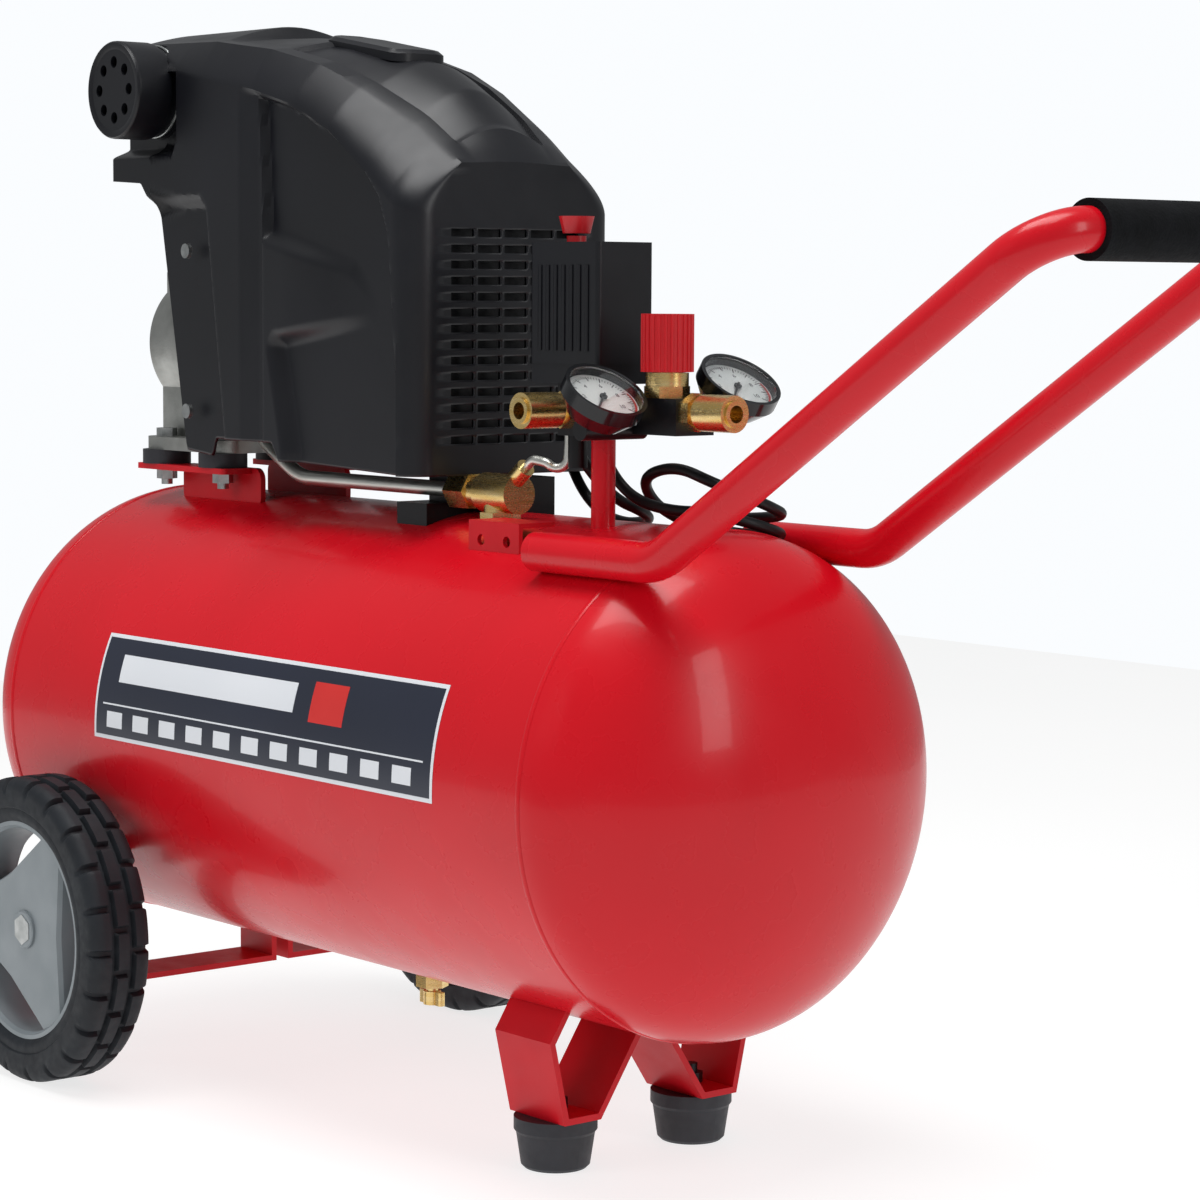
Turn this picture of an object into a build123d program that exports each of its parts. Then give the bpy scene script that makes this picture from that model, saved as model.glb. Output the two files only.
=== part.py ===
"""Portable oil-lubricated air compressor with a 50 litre tank, in millimetres.

X runs along the tank towards the handle, -Y is the side with the label, +Z is up. The origin is on the
floor at the middle of the machine. Lengths along the tank are measured from the tank's middle with at().
"""
import math
import os

from build123d import *

os.makedirs("parts", exist_ok=True)

# Tank
TANK_R = 155.0
TANK_WALL = 2.2
BARREL_HALF = 287.0
HEAD_DEPTH = 85.0
TANK_Z = 241.0

# Handle
TUBE_R = 12.0
TUBE_WALL = 1.5
ARM_Y = 88.0
ARM_REAR = 220.0
ARM_BEND = 331.0
ARM_SLOPE = math.radians(32.5)
BAR_X = 625.0
GRIP_R = 16.0
GRIP_HALF = 56.0

# The machine is centred on the origin between the rear head and the front of the grip
REACH_REAR = BARREL_HALF + HEAD_DEPTH
REACH_FRONT = BAR_X + GRIP_R
TANK_X = (REACH_REAR - REACH_FRONT) / 2

# Wheels
WHEEL_X = -198.0
WHEEL_R = 104.0
WHEEL_IN = 160.0
WHEEL_OUT = 205.0
RIM_R = 74.5
AXLE_R = 6.0
RUN_GAP = 0.05

# Front feet and straps
FOOT_X = 201.0
FOOT_Y = 55.6
FOOT_H = 32.0
STRAP_T = 4.0
STRAP_W = 54.0
AXLE_STRAP_Y = 148.0
AXLE_STRAP_Z = 64.0

# Pump
CRANK_Z = 500.0
PUMP_FOOT_Z = 425.0
PUMP_FOOT_X = (-251.0, -179.0)
PUMP_FOOT_Y = 48.0
FLANGE_Z = 415.0
CRANKCASE_X0 = -270.0
CRANKCASE_X1 = -190.0
CYL_X = -222.0
CYL_BASE = 550.0
CYL_TOP = 612.0
BORE_R = 23.5
STATOR_R = 63.0
STATOR_X0 = -150.0
STATOR_X1 = 40.0
SHAFT_R = 9.0

# Shroud
SHROUD_W = 83.0
SHROUD_X = 88.0
SHROUD_T = 2.6

# Controls
STAND_X = 203.0
STAND_Y = -22.0
STAND_R = 7.5
MANIFOLD_Z = 466.0
REG_X = 262.0
REG_Y = -22.0
SWITCH_X0 = 155.0
SWITCH_X1 = 221.0
SWITCH_Y0 = -42.0
SWITCH_Y1 = 2.0
SWITCH_Z0 = 488.0
SWITCH_Z1 = 568.0
GAUGE_R = 26.0
GAUGE_TILT = math.radians(35)
GAUGES = {"left": (255.5, -63.5, 480.5), "right": (276.0, 25.0, 486.0)}
GAUGE_DEPTH = 20.0
PIVOT_R = 1.0
GAUGE_RIM = 9.0
STEM_R = 4.5
STEM_LENGTH = 7.0
COUPLING_R = 11.0
COUPLING_BORE = 5.2
COUPLING_L = 40.0
COUPLING_HEX = 8.0
COUPLING_DEPTH = 22.0
CHECK_X = 115.0
CHECK_Y = -33.0
CHECK_Z = 411.0
CABLE_R = 3.5


def at(along):
    """The X of a place measured along the tank from its middle."""
    return TANK_X + along


def tank_top(y, radius=TANK_R):
    """Height of the tank's upper surface at a distance y from its middle plane."""
    return TANK_Z + math.sqrt(radius**2 - y**2)


def tank_bottom(y, radius=TANK_R):
    """Height of the tank's lower surface at a distance y from its middle plane."""
    return TANK_Z - math.sqrt(radius**2 - y**2)


def cut_to_tank(clear=0.0):
    """Trim the piece being built to the outside of the tank."""
    with Locations((TANK_X, 0, TANK_Z)):
        Cylinder(TANK_R + clear, 2 * BARREL_HALF, rotation=(0, 90, 0), mode=Mode.SUBTRACT)


def ribbon(points, thickness):
    """The mitred outline of a flat strip seen edge on, from the middle line of the strip."""
    sides = ([], [])
    for index, point in enumerate(points):
        before = Vector(*points[max(index - 1, 0)])
        here = Vector(*point)
        after = Vector(*points[min(index + 1, len(points) - 1)])
        arriving = (here - before) if index else (after - here)
        leaving = (after - here) if index < len(points) - 1 else arriving
        arriving, leaving = arriving.normalized(), leaving.normalized()
        across = Vector(-(arriving + leaving).Y, (arriving + leaving).X).normalized()
        reach = thickness / 2 / across.dot(Vector(-arriving.Y, arriving.X))
        sides[0].append(tuple(here + across * reach)[:2])
        sides[1].append(tuple(here - across * reach)[:2])
    return sides[0] + sides[1][::-1]


def save(piece, name):
    """Label a finished piece and write it."""
    piece.part.label = name
    export_step(piece.part, f"parts/{name}.step")


# ---------------------------------------------------------------- tank

with BuildPart() as tank_barrel:
    with BuildSketch(Plane.YZ.offset(at(-BARREL_HALF))):
        with Locations((0, TANK_Z)):
            Circle(TANK_R)
            Circle(TANK_R - TANK_WALL, mode=Mode.SUBTRACT)
    extrude(amount=2 * BARREL_HALF)
    for port_x, port_y, port_r in ((STAND_X, STAND_Y, STAND_R - 2), (CHECK_X, CHECK_Y, 6)):
        with Locations((at(port_x), port_y, TANK_Z + TANK_R)):
            Cylinder(port_r, 60, mode=Mode.SUBTRACT)
    with Locations((at(0), 0, TANK_Z - TANK_R)):
        Cylinder(4, 20, mode=Mode.SUBTRACT)
save(tank_barrel, "tank_barrel")

for head_name, side in (("tank_head_front", 1), ("tank_head_rear", -1)):
    start = at(BARREL_HALF)
    with BuildPart() as tank_head:
        with BuildSketch(Plane.XZ):
            with BuildLine():
                centre = (start, TANK_Z)
                turn = {"start_angle": 0, "arc_size": 90}
                outer = EllipticalCenterArc(centre, HEAD_DEPTH, TANK_R, **turn)
                inner = EllipticalCenterArc(centre, HEAD_DEPTH - TANK_WALL, TANK_R - TANK_WALL, **turn)
                Line(outer @ 0, inner @ 0)
                Line(outer @ 1, inner @ 1)
            make_face()
        revolve(axis=Axis((TANK_X, 0, TANK_Z), (1, 0, 0)))
        if side < 0:
            mirror(about=Plane.YZ.offset(TANK_X), mode=Mode.REPLACE)
    save(tank_head, head_name)

with BuildPart() as drain_valve:
    with BuildSketch(Plane.XY.offset(TANK_Z - TANK_R - 14)):
        with Locations((at(0), 0)):
            RegularPolygon(11, 6)
            Circle(4, mode=Mode.SUBTRACT)
    extrude(amount=8)
    with BuildSketch(Plane.XY.offset(TANK_Z - TANK_R - 6)):
        with Locations((at(0), 0)):
            Circle(8)
            Circle(4, mode=Mode.SUBTRACT)
    extrude(amount=9)
    cut_to_tank()
save(drain_valve, "drain_valve")

with BuildPart() as drain_screw:
    with BuildSketch(Plane.XY.offset(TANK_Z - TANK_R - 24)):
        with Locations((at(0), 0)):
            Circle(3.95)
    extrude(amount=17)
    with BuildSketch(Plane.XY.offset(TANK_Z - TANK_R - 26)):
        with Locations((at(0), 0)):
            RectangleRounded(24, 5, 2)
            Circle(6)
    extrude(amount=9)
save(drain_screw, "drain_screw")

# ---------------------------------------------------------------- feet and axle straps

FOOT_FLAT = 13.0
HALF_STRAP = [
    (0, tank_bottom(0) - 0.5),
    (9, tank_bottom(9) - 1.5),
    (FOOT_Y - FOOT_FLAT, FOOT_H + STRAP_T / 2),
    (FOOT_Y + FOOT_FLAT, FOOT_H + STRAP_T / 2),
    (80, 84),
    (67, tank_bottom(67) + 3),
]

with BuildPart() as foot_bracket:
    for side in (-1, 1):
        with BuildSketch(Plane.YZ.offset(at(FOOT_X - STRAP_W / 2))):
            with BuildLine():
                Polyline(ribbon([(side * y, z) for y, z in HALF_STRAP], STRAP_T), close=True)
            make_face()
        extrude(amount=STRAP_W)
    with Locations([(at(FOOT_X), side * FOOT_Y, FOOT_H) for side in (-1, 1)]):
        Cylinder(4.1, 30, mode=Mode.SUBTRACT)
    cut_to_tank()
save(foot_bracket, "foot_bracket")

with BuildPart() as rubber_feet:
    for side in (-1, 1):
        with BuildSketch(Plane.XZ.offset(-side * FOOT_Y)):
            with BuildLine():
                Polyline(
                    (at(FOOT_X), 6), (at(FOOT_X) + 14, 6), (at(FOOT_X) + 14, 0), (at(FOOT_X) + 19.5, 0),
                    (at(FOOT_X) + 21.5, 2), (at(FOOT_X) + 24.5, 22), (at(FOOT_X) + 26, 24),
                    (at(FOOT_X) + 26, FOOT_H), (at(FOOT_X), FOOT_H), close=True,
                )
            make_face()
        revolve(axis=Axis((at(FOOT_X), side * FOOT_Y, 0), (0, 0, 1)))
    with Locations([(at(FOOT_X), side * FOOT_Y, 16) for side in (-1, 1)]):
        Cylinder(4, 40, mode=Mode.SUBTRACT)
save(rubber_feet, "rubber_feet")

with BuildPart() as foot_bolts:
    for side in (-1, 1):
        with Locations((at(FOOT_X), side * FOOT_Y, 1.5)):
            Cylinder(8.5, 4.5, align=(Align.CENTER, Align.CENTER, Align.MIN))
            Cylinder(4, 47, align=(Align.CENTER, Align.CENTER, Align.MIN))
        with BuildSketch(Plane.XY.offset(FOOT_H + STRAP_T)):
            with Locations((at(FOOT_X), side * FOOT_Y)):
                RegularPolygon(7.5, 6)
        extrude(amount=7)
save(foot_bolts, "foot_bolts")

AXLE_STRAP = [
    (7, tank_bottom(7) + 1),
    (7, AXLE_STRAP_Z),
    (AXLE_STRAP_Y, AXLE_STRAP_Z),
    (AXLE_STRAP_Y, 128),
    (128, tank_bottom(128) + 3),
]

with BuildPart() as axle_brackets:
    for side in (-1, 1):
        with BuildSketch(Plane.YZ.offset(at(WHEEL_X - 20))):
            with BuildLine():
                Polyline(ribbon([(side * y, z) for y, z in AXLE_STRAP], STRAP_T), close=True)
            make_face()
        extrude(amount=40)
    with Locations((at(WHEEL_X), 0, WHEEL_R)):
        Cylinder(AXLE_R, 2 * WHEEL_OUT, rotation=(90, 0, 0), mode=Mode.SUBTRACT)
    cut_to_tank()
save(axle_brackets, "axle_brackets")

with BuildPart() as axle_bolts:
    for side in (-1, 1):
        head = Plane(origin=(at(WHEEL_X), side * (WHEEL_OUT - 5), WHEEL_R), z_dir=(0, -side, 0))
        with BuildSketch(head):
            RegularPolygon(10.5, 6)
        extrude(amount=8)
        with BuildSketch(head):
            Circle(AXLE_R)
        extrude(amount=72)
        with BuildSketch(Plane(origin=(at(WHEEL_X), side * (AXLE_STRAP_Y - 2), WHEEL_R), z_dir=(0, -side, 0))):
            RegularPolygon(11, 6)
        extrude(amount=10)
save(axle_bolts, "axle_bolts")

# ---------------------------------------------------------------- wheels

for name, side in (("left", -1), ("right", 1)):
    mid = side * (WHEEL_IN + WHEEL_OUT) / 2
    outward = Plane(origin=(at(WHEEL_X), 0, WHEEL_R), z_dir=(0, side, 0), x_dir=(1, 0, 0))
    axle = Axis((at(WHEEL_X), 0, WHEEL_R), (0, 1, 0))
    half = (WHEEL_OUT - WHEEL_IN) / 2
    with BuildPart() as tyre:
        with BuildSketch(Plane(origin=(at(WHEEL_X), mid, WHEEL_R), x_dir=(1, 0, 0), z_dir=(0, 0, 1))):
            with BuildLine():
                Polyline((RIM_R, -half + 4), (RIM_R, half - 4), (RIM_R + 4, half - 1), (WHEEL_R - 9, half))
                RadiusArc((WHEEL_R - 9, half), (WHEEL_R, half - 9), -9)
                Line((WHEEL_R, half - 9), (WHEEL_R, -half + 9))
                RadiusArc((WHEEL_R, -half + 9), (WHEEL_R - 9, -half), -9)
                Polyline((WHEEL_R - 9, -half), (RIM_R + 4, -half + 1), (RIM_R, -half + 4))
            make_face()
        revolve(axis=axle)
    save(tyre, f"tyre_{name}")

    with BuildPart() as wheel_rim:
        with BuildSketch(outward.offset(WHEEL_IN + 4)):
            Circle(RIM_R)
            Circle(RIM_R - 5, mode=Mode.SUBTRACT)
        extrude(amount=2 * half - 8)
        with BuildSketch(outward.offset(WHEEL_IN + 10)):
            Circle(RIM_R - 4)
            for turn in (0, 120, 240):
                with PolarLocations(0, 1, start_angle=turn):
                    SlotArc(CenterArc((0, 0), 47, -32, 64), 26, mode=Mode.SUBTRACT)
        extrude(amount=5)
        with BuildSketch(outward.offset(WHEEL_IN + 14)):
            Circle(24)
            with PolarLocations(44, 3, start_angle=60):
                Rectangle(56, 26)
        extrude(amount=22)
        with BuildSketch(outward.offset(AXLE_STRAP_Y + 3)):
            Circle(17)
        extrude(amount=WHEEL_OUT - 12 - AXLE_STRAP_Y - 3)
        with BuildSketch(outward.offset(WHEEL_OUT - 13)):
            Circle(14)
        extrude(amount=20, mode=Mode.SUBTRACT)
        with BuildSketch(outward.offset(AXLE_STRAP_Y)):
            Circle(AXLE_R + RUN_GAP)
        extrude(amount=70, mode=Mode.SUBTRACT)
    save(wheel_rim, f"wheel_rim_{name}")

# ---------------------------------------------------------------- handle

ARM_Z = tank_top(ARM_Y, TANK_R + TUBE_R + 0.3)
BAR_Z = ARM_Z + (BAR_X - ARM_BEND) * math.tan(ARM_SLOPE)
ARM_PATH = [(at(ARM_REAR), ARM_Y, ARM_Z), (at(ARM_BEND), ARM_Y, ARM_Z), (at(BAR_X), ARM_Y, BAR_Z)]
HANDLE_PATH = [(x, -y, z) for x, y, z in ARM_PATH] + ARM_PATH[::-1]

with BuildPart() as handle_tube:
    with BuildLine():
        FilletPolyline(HANDLE_PATH, radius=[45, 31, 31, 45])
    with BuildSketch(Plane(origin=HANDLE_PATH[0], z_dir=(1, 0, 0))):
        Circle(TUBE_R)
        Circle(TUBE_R - TUBE_WALL, mode=Mode.SUBTRACT)
    sweep()
save(handle_tube, "handle_tube")

with BuildPart() as handle_grip:
    with Locations((at(BAR_X), 0, BAR_Z)):
        Cylinder(GRIP_R, 2 * GRIP_HALF, rotation=(90, 0, 0))
        Cylinder(TUBE_R, 2 * GRIP_HALF, rotation=(90, 0, 0), mode=Mode.SUBTRACT)
save(handle_grip, "handle_grip")

TAB_X = 158.0
TAB_Y = -72.0
TAB_PITCH = 25.5
with BuildPart() as tab_plate:
    with BuildSketch(Plane.XZ.offset(-TAB_Y)):
        with Locations((at(TAB_X), 386)):
            RectangleRounded(50, 22, 3)
        with Locations([(at(TAB_X + off), 385) for off in (-TAB_PITCH / 2, TAB_PITCH / 2)]):
            Circle(3.5, mode=Mode.SUBTRACT)
    extrude(amount=-3)
    with BuildSketch(Plane.XY.offset(394)):
        with Locations((at(TAB_X), TAB_Y + 14)):
            Rectangle(50, 28)
    extrude(amount=3)
    cut_to_tank()
save(tab_plate, "tab_plate")

# ---------------------------------------------------------------- pump brackets and dampers

with BuildPart() as pump_brackets:
    for side in (-1, 1):
        with BuildSketch(Plane.XY.offset(FLANGE_Z - STRAP_T)):
            with Locations((at(-214), side * 49)):
                RectangleRounded(112, 26, 4)
            with Locations([(at(x), side * PUMP_FOOT_Y) for x in PUMP_FOOT_X]):
                Circle(4.2, mode=Mode.SUBTRACT)
        extrude(amount=STRAP_T)
        with BuildSketch(Plane.XZ.offset(-side * 36 + 2)):
            with Locations((at(-196), 401)):
                Rectangle(98, 28)
            corners = vertices().group_by(Axis.Z)[-1]
            fillet(corners, 8)
        extrude(amount=-STRAP_T)
    cut_to_tank()
save(pump_brackets, "pump_brackets")

with BuildPart() as pump_dampers:
    with Locations([(at(x), side * PUMP_FOOT_Y, FLANGE_Z) for x in PUMP_FOOT_X for side in (-1, 1)]):
        Cylinder(17, PUMP_FOOT_Z - FLANGE_Z, align=(Align.CENTER, Align.CENTER, Align.MIN))
        Cylinder(4, 40, mode=Mode.SUBTRACT)
save(pump_dampers, "pump_dampers")

with BuildPart() as pump_bolts:
    for x in PUMP_FOOT_X:
        for side in (-1, 1):
            for level, height in ((FLANGE_Z - STRAP_T - 7, 7), (PUMP_FOOT_Z + 9, 6)):
                with BuildSketch(Plane.XY.offset(level)):
                    with Locations((at(x), side * PUMP_FOOT_Y)):
                        RegularPolygon(7.3, 6)
                extrude(amount=height)
            with Locations((at(x), side * PUMP_FOOT_Y, 400)):
                Cylinder(4, 38, align=(Align.CENTER, Align.CENTER, Align.MIN))
save(pump_bolts, "pump_bolts")

with BuildPart() as motor_saddle:
    for (x0, x1), (y0, y1), top in (((28, 60), (-50, 50), 402), ((28, 60), (-24, 24), 450), ((60, 84), (-12, 36), 418)):
        with Locations((at((x0 + x1) / 2), (y0 + y1) / 2, 380)):
            Box(x1 - x0, y1 - y0, top - 380, align=(Align.CENTER, Align.CENTER, Align.MIN))
    with Locations((at(0), 0, CRANK_Z)):
        Cylinder(STATOR_R, 400, rotation=(0, 90, 0), mode=Mode.SUBTRACT)
    cut_to_tank()
save(motor_saddle, "motor_saddle")

# ---------------------------------------------------------------- crankcase, cylinder and head

CRANK_CHAMBER_R = 42.0
with BuildPart() as crankcase:
    with BuildSketch(Plane.YZ.offset(at(CRANKCASE_X0))):
        with Locations((0, CRANK_Z)):
            Circle(50)
        with Locations((0, CRANK_Z - 37.5)):
            Rectangle(78, 75)
        with Locations((0, CRANK_Z + 25)):
            Rectangle(70, 50)
    extrude(amount=CRANKCASE_X1 - CRANKCASE_X0)
    with BuildSketch(Plane.XY.offset(PUMP_FOOT_Z)):
        with Locations((at(-215), 0)):
            RectangleRounded(106, 118, 14)
    extrude(amount=9)
    with BuildSketch(Plane.YZ.offset(at(CRANKCASE_X1))):
        with Locations((0, CRANK_Z)):
            Circle(26)
    extrude(amount=14)
    with BuildSketch(Plane.YZ.offset(at(CRANKCASE_X0 + 6))):
        with Locations((0, CRANK_Z)):
            Circle(CRANK_CHAMBER_R)
    extrude(amount=CRANKCASE_X1 - CRANKCASE_X0 - 12, mode=Mode.SUBTRACT)
    with Locations((at(CYL_X), 0, 540)):
        Cylinder(BORE_R, 40, mode=Mode.SUBTRACT)
    with Locations((at(CRANKCASE_X0), 0, CRANK_Z + 33)):
        Cylinder(6, 16, rotation=(0, 90, 0), mode=Mode.SUBTRACT)
    with Locations((at(-180), 0, CRANK_Z)):
        Cylinder(SHAFT_R + RUN_GAP, 60, rotation=(0, 90, 0), mode=Mode.SUBTRACT)
    with Locations([(at(x), side * PUMP_FOOT_Y, PUMP_FOOT_Z) for x in PUMP_FOOT_X for side in (-1, 1)]):
        Cylinder(4.2, 40, mode=Mode.SUBTRACT)
save(crankcase, "crankcase")

with BuildPart() as oil_sight_glass:
    with BuildSketch(Plane.YZ.offset(at(CRANKCASE_X0))):
        with Locations((0, CRANK_Z - 38)):
            Circle(11)
    extrude(amount=-6)
    fillet(faces().sort_by(Axis.X)[0].edges(), 1.5)
save(oil_sight_glass, "oil_sight_glass")

OIL_PLUG = Plane(origin=(at(CRANKCASE_X0), 0, CRANK_Z + 33), z_dir=(-1, 0, 0))
with BuildPart() as oil_plug:
    with BuildSketch(OIL_PLUG.offset(-5)):
        Circle(6)
    extrude(amount=8)
    with BuildSketch(OIL_PLUG.offset(3)):
        Circle(10)
    extrude(amount=9)
save(oil_plug, "oil_plug")

with BuildPart() as cylinder:
    with Locations((at(CYL_X), 0, CYL_BASE)):
        Cylinder(29, CYL_TOP - CYL_BASE, align=(Align.CENTER, Align.CENTER, Align.MIN))
    for level in range(5):
        with BuildSketch(Plane.XY.offset(556 + 11 * level)):
            with Locations((at(CYL_X), 0)):
                RectangleRounded(62, 74, 12)
        extrude(amount=3.5)
    with Locations((at(CYL_X), 0, 580)):
        Cylinder(BORE_R, 80, mode=Mode.SUBTRACT)
save(cylinder, "cylinder")

with BuildPart() as cylinder_head:
    with BuildSketch(Plane.XY.offset(CYL_TOP)):
        with Locations((at(CYL_X), 0)):
            RectangleRounded(66, 74, 8)
    extrude(amount=12)
    with BuildSketch(Plane.XY.offset(CYL_TOP + 12)):
        with Locations((at(CYL_X), 0)):
            RectangleRounded(52, 60, 8)
    extrude(amount=28)
    with BuildSketch(Plane.XY.offset(CYL_TOP + 18)):
        with Locations([(at(CYL_X), off) for off in (-24, -12, 0, 12, 24)]):
            Rectangle(70, 5, mode=Mode.ADD)
    extrude(amount=30, mode=Mode.SUBTRACT)
save(cylinder_head, "cylinder_head")

with BuildPart() as head_bolts:
    for off_x in (-27, 27):
        for off_y in (-31.5, 31.5):
            with BuildSketch(Plane.XY.offset(CYL_TOP + 12)):
                with Locations((at(CYL_X + off_x), off_y)):
                    RegularPolygon(4.6, 6)
            extrude(amount=5)
save(head_bolts, "head_bolts")

PISTON_Z = 575.0
CRANK_THROW = 18.0
with BuildPart() as piston:
    with Locations((at(CYL_X), 0, PISTON_Z)):
        Cylinder(BORE_R - 0.05, 30)
        with Locations((0, 0, -6)):
            Cylinder(BORE_R - 4, 24, mode=Mode.SUBTRACT)
            Cylinder(5, 40, rotation=(0, 90, 0))
save(piston, "piston")

with BuildPart() as connecting_rod:
    with BuildSketch(Plane.YZ.offset(at(CYL_X - 5))):
        with Locations((0, PISTON_Z - 6)):
            Circle(9)
        with Locations((0, CRANK_Z + CRANK_THROW)):
            Circle(13)
        with Locations((0, (PISTON_Z - 6 + CRANK_Z + CRANK_THROW) / 2)):
            Rectangle(9, PISTON_Z - 6 - CRANK_Z - CRANK_THROW)
        with Locations((0, PISTON_Z - 6)):
            Circle(5.3, mode=Mode.SUBTRACT)
    extrude(amount=10)
    with BuildSketch(Plane.YZ.offset(at(CYL_X + 5))):
        with Locations((0, CRANK_Z + CRANK_THROW)):
            Circle(7)
    extrude(amount=6.5)
save(connecting_rod, "connecting_rod")

# ---------------------------------------------------------------- motor

with BuildPart() as motor_stator:
    with BuildSketch(Plane.YZ.offset(at(STATOR_X0))):
        with Locations((0, CRANK_Z)):
            Circle(STATOR_R)
            Circle(37, mode=Mode.SUBTRACT)
    extrude(amount=STATOR_X1 - STATOR_X0)
    for shield_x in (STATOR_X0, STATOR_X1 - 10):
        with BuildSketch(Plane.YZ.offset(at(shield_x))):
            with Locations((0, CRANK_Z)):
                Circle(STATOR_R - 4)
                Circle(SHAFT_R + RUN_GAP, mode=Mode.SUBTRACT)
        extrude(amount=10)
save(motor_stator, "motor_stator")

FAN_X = 46.0
with BuildPart() as rotor_shaft:
    with BuildSketch(Plane.YZ.offset(at(-216))):
        with Locations((0, CRANK_Z)):
            Circle(SHAFT_R)
    extrude(amount=FAN_X + 24 + 216)
    with BuildSketch(Plane.YZ.offset(at(STATOR_X0 + 20))):
        with Locations((0, CRANK_Z)):
            Circle(36)
    extrude(amount=STATOR_X1 - STATOR_X0 - 40)
    with BuildSketch(Plane.YZ.offset(at(-210))):
        with Locations((0, CRANK_Z)):
            Circle(34)
    extrude(amount=10)
save(rotor_shaft, "rotor_shaft")

with BuildPart() as cooling_fan:
    with BuildSketch(Plane.YZ.offset(at(FAN_X))):
        with Locations((0, CRANK_Z)):
            Circle(22)
            Circle(SHAFT_R, mode=Mode.SUBTRACT)
    extrude(amount=22)
    with BuildSketch(Plane.YZ.offset(at(FAN_X + 4))):
        with Locations((0, CRANK_Z)):
            with PolarLocations(39, 9):
                Rectangle(42, 7)
            Circle(SHAFT_R + 4, mode=Mode.SUBTRACT)
    extrude(amount=14)
save(cooling_fan, "cooling_fan")

# ---------------------------------------------------------------- shroud

SHROUD_SIDE = [
    (-181, 425), (-212, 596), (-224, 609), (-262, 612), (-264, 622), (-256, 640), (-262, 708), (-248, 719),
    (-165, 719), (-158, 708), (-92, 701), (-45, 688), (0, 673), (48, 653), (75, 634), (SHROUD_X - 1, 615),
    (SHROUD_X, 425),
]
GRILLE_ROWS = 14
GRILLE_COLUMNS = 5
SLOT_PITCH = (21.3, 10.07)
SLOT = (18.5, 5.0)
GRILLE_TOP = 574.8


def shroud_block(inset, bottom):
    """The shroud's block, inset by a wall, with its lower edge at a height."""
    width = SHROUD_W - inset
    outline = [(at(x), bottom if z == 425 else z) for x, z in SHROUD_SIDE]
    with BuildPart(mode=Mode.PRIVATE) as block:
        with BuildSketch(Plane.XZ):
            with BuildLine():
                Polyline(outline, close=True)
            make_face()
            if inset:
                offset(amount=-inset, kind=Kind.INTERSECTION)
        extrude(amount=width, both=True)
        with BuildSketch(Plane.XY.offset(300)):
            with Locations((at(SHROUD_X - inset - 200), 0)):
                RectangleRounded(400, 2 * width, 22 - inset)
        extrude(amount=500, mode=Mode.INTERSECT)
        with BuildSketch(Plane.YZ.offset(at(-320))):
            with Locations((0, 719 - inset - 300)):
                RectangleRounded(2 * width, 600, 30 - inset)
        extrude(amount=500, mode=Mode.INTERSECT)
    return block.part


with BuildPart() as shroud:
    add(shroud_block(0, 425))
    add(shroud_block(SHROUD_T, 400), mode=Mode.SUBTRACT)
    with BuildSketch(Plane.YZ.offset(at(SHROUD_X - 12))):
        for row in range(GRILLE_ROWS):
            for column in range(GRILLE_COLUMNS):
                across = (column - (GRILLE_COLUMNS - 1) / 2) * SLOT_PITCH[0]
                with Locations((across, GRILLE_TOP - SLOT_PITCH[1] * row)):
                    Rectangle(*SLOT)
    extrude(amount=20, mode=Mode.SUBTRACT)
    with Locations((at(-232), 0, 510)):
        Box(150, 2 * (SHROUD_W - SHROUD_T), 220, mode=Mode.SUBTRACT)
save(shroud, "shroud")

STRIP_SCREWS = ((-167, 564), (-167, 455))
with BuildPart() as shroud_screws:
    for x, z in STRIP_SCREWS:
        for side in (-1, 1):
            with BuildSketch(Plane(origin=(at(x), side * SHROUD_W, z), z_dir=(0, side, 0))):
                Circle(5)
            extrude(amount=3)
save(shroud_screws, "shroud_screws")

FILTER_X = -221.0
FILTER_Z = 674.0
with BuildPart() as filter_housing:
    with BuildSketch(Plane.XZ.offset(SHROUD_W)):
        with Locations((at(FILTER_X), FILTER_Z)):
            Circle(30)
    extrude(amount=9)
save(filter_housing, "filter_housing")

with BuildPart() as filter_cap:
    with BuildSketch(Plane.XZ.offset(SHROUD_W + 9)):
        with Locations((at(FILTER_X), FILTER_Z)):
            Circle(33)
    extrude(amount=16)
    with BuildSketch(Plane.XZ.offset(SHROUD_W + 9)):
        with Locations((at(FILTER_X), FILTER_Z)):
            Circle(29)
    extrude(amount=13, mode=Mode.SUBTRACT)
    with BuildSketch(Plane.XZ.offset(SHROUD_W + 9)):
        with Locations((at(FILTER_X), FILTER_Z)):
            with PolarLocations(19, 8):
                Circle(4)
    extrude(amount=20, mode=Mode.SUBTRACT)
save(filter_cap, "filter_cap")

# ---------------------------------------------------------------- pipes and valves

with BuildPart() as delivery_pipe:
    with BuildLine():
        FilletPolyline(
            [
                (at(-189), CHECK_Y + 13, CYL_TOP + 24), (at(-162), CHECK_Y + 13, CYL_TOP + 24),
                (at(-162), CHECK_Y, 440), (at(-106), CHECK_Y, CHECK_Z), (at(CHECK_X - 45), CHECK_Y, CHECK_Z),
            ],
            radius=[11, 40, 50],
        )
    with BuildSketch(Plane(origin=(at(-189), CHECK_Y + 13, CYL_TOP + 24), z_dir=(1, 0, 0))):
        Circle(5)
        Circle(4, mode=Mode.SUBTRACT)
    sweep()
save(delivery_pipe, "delivery_pipe")

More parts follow.
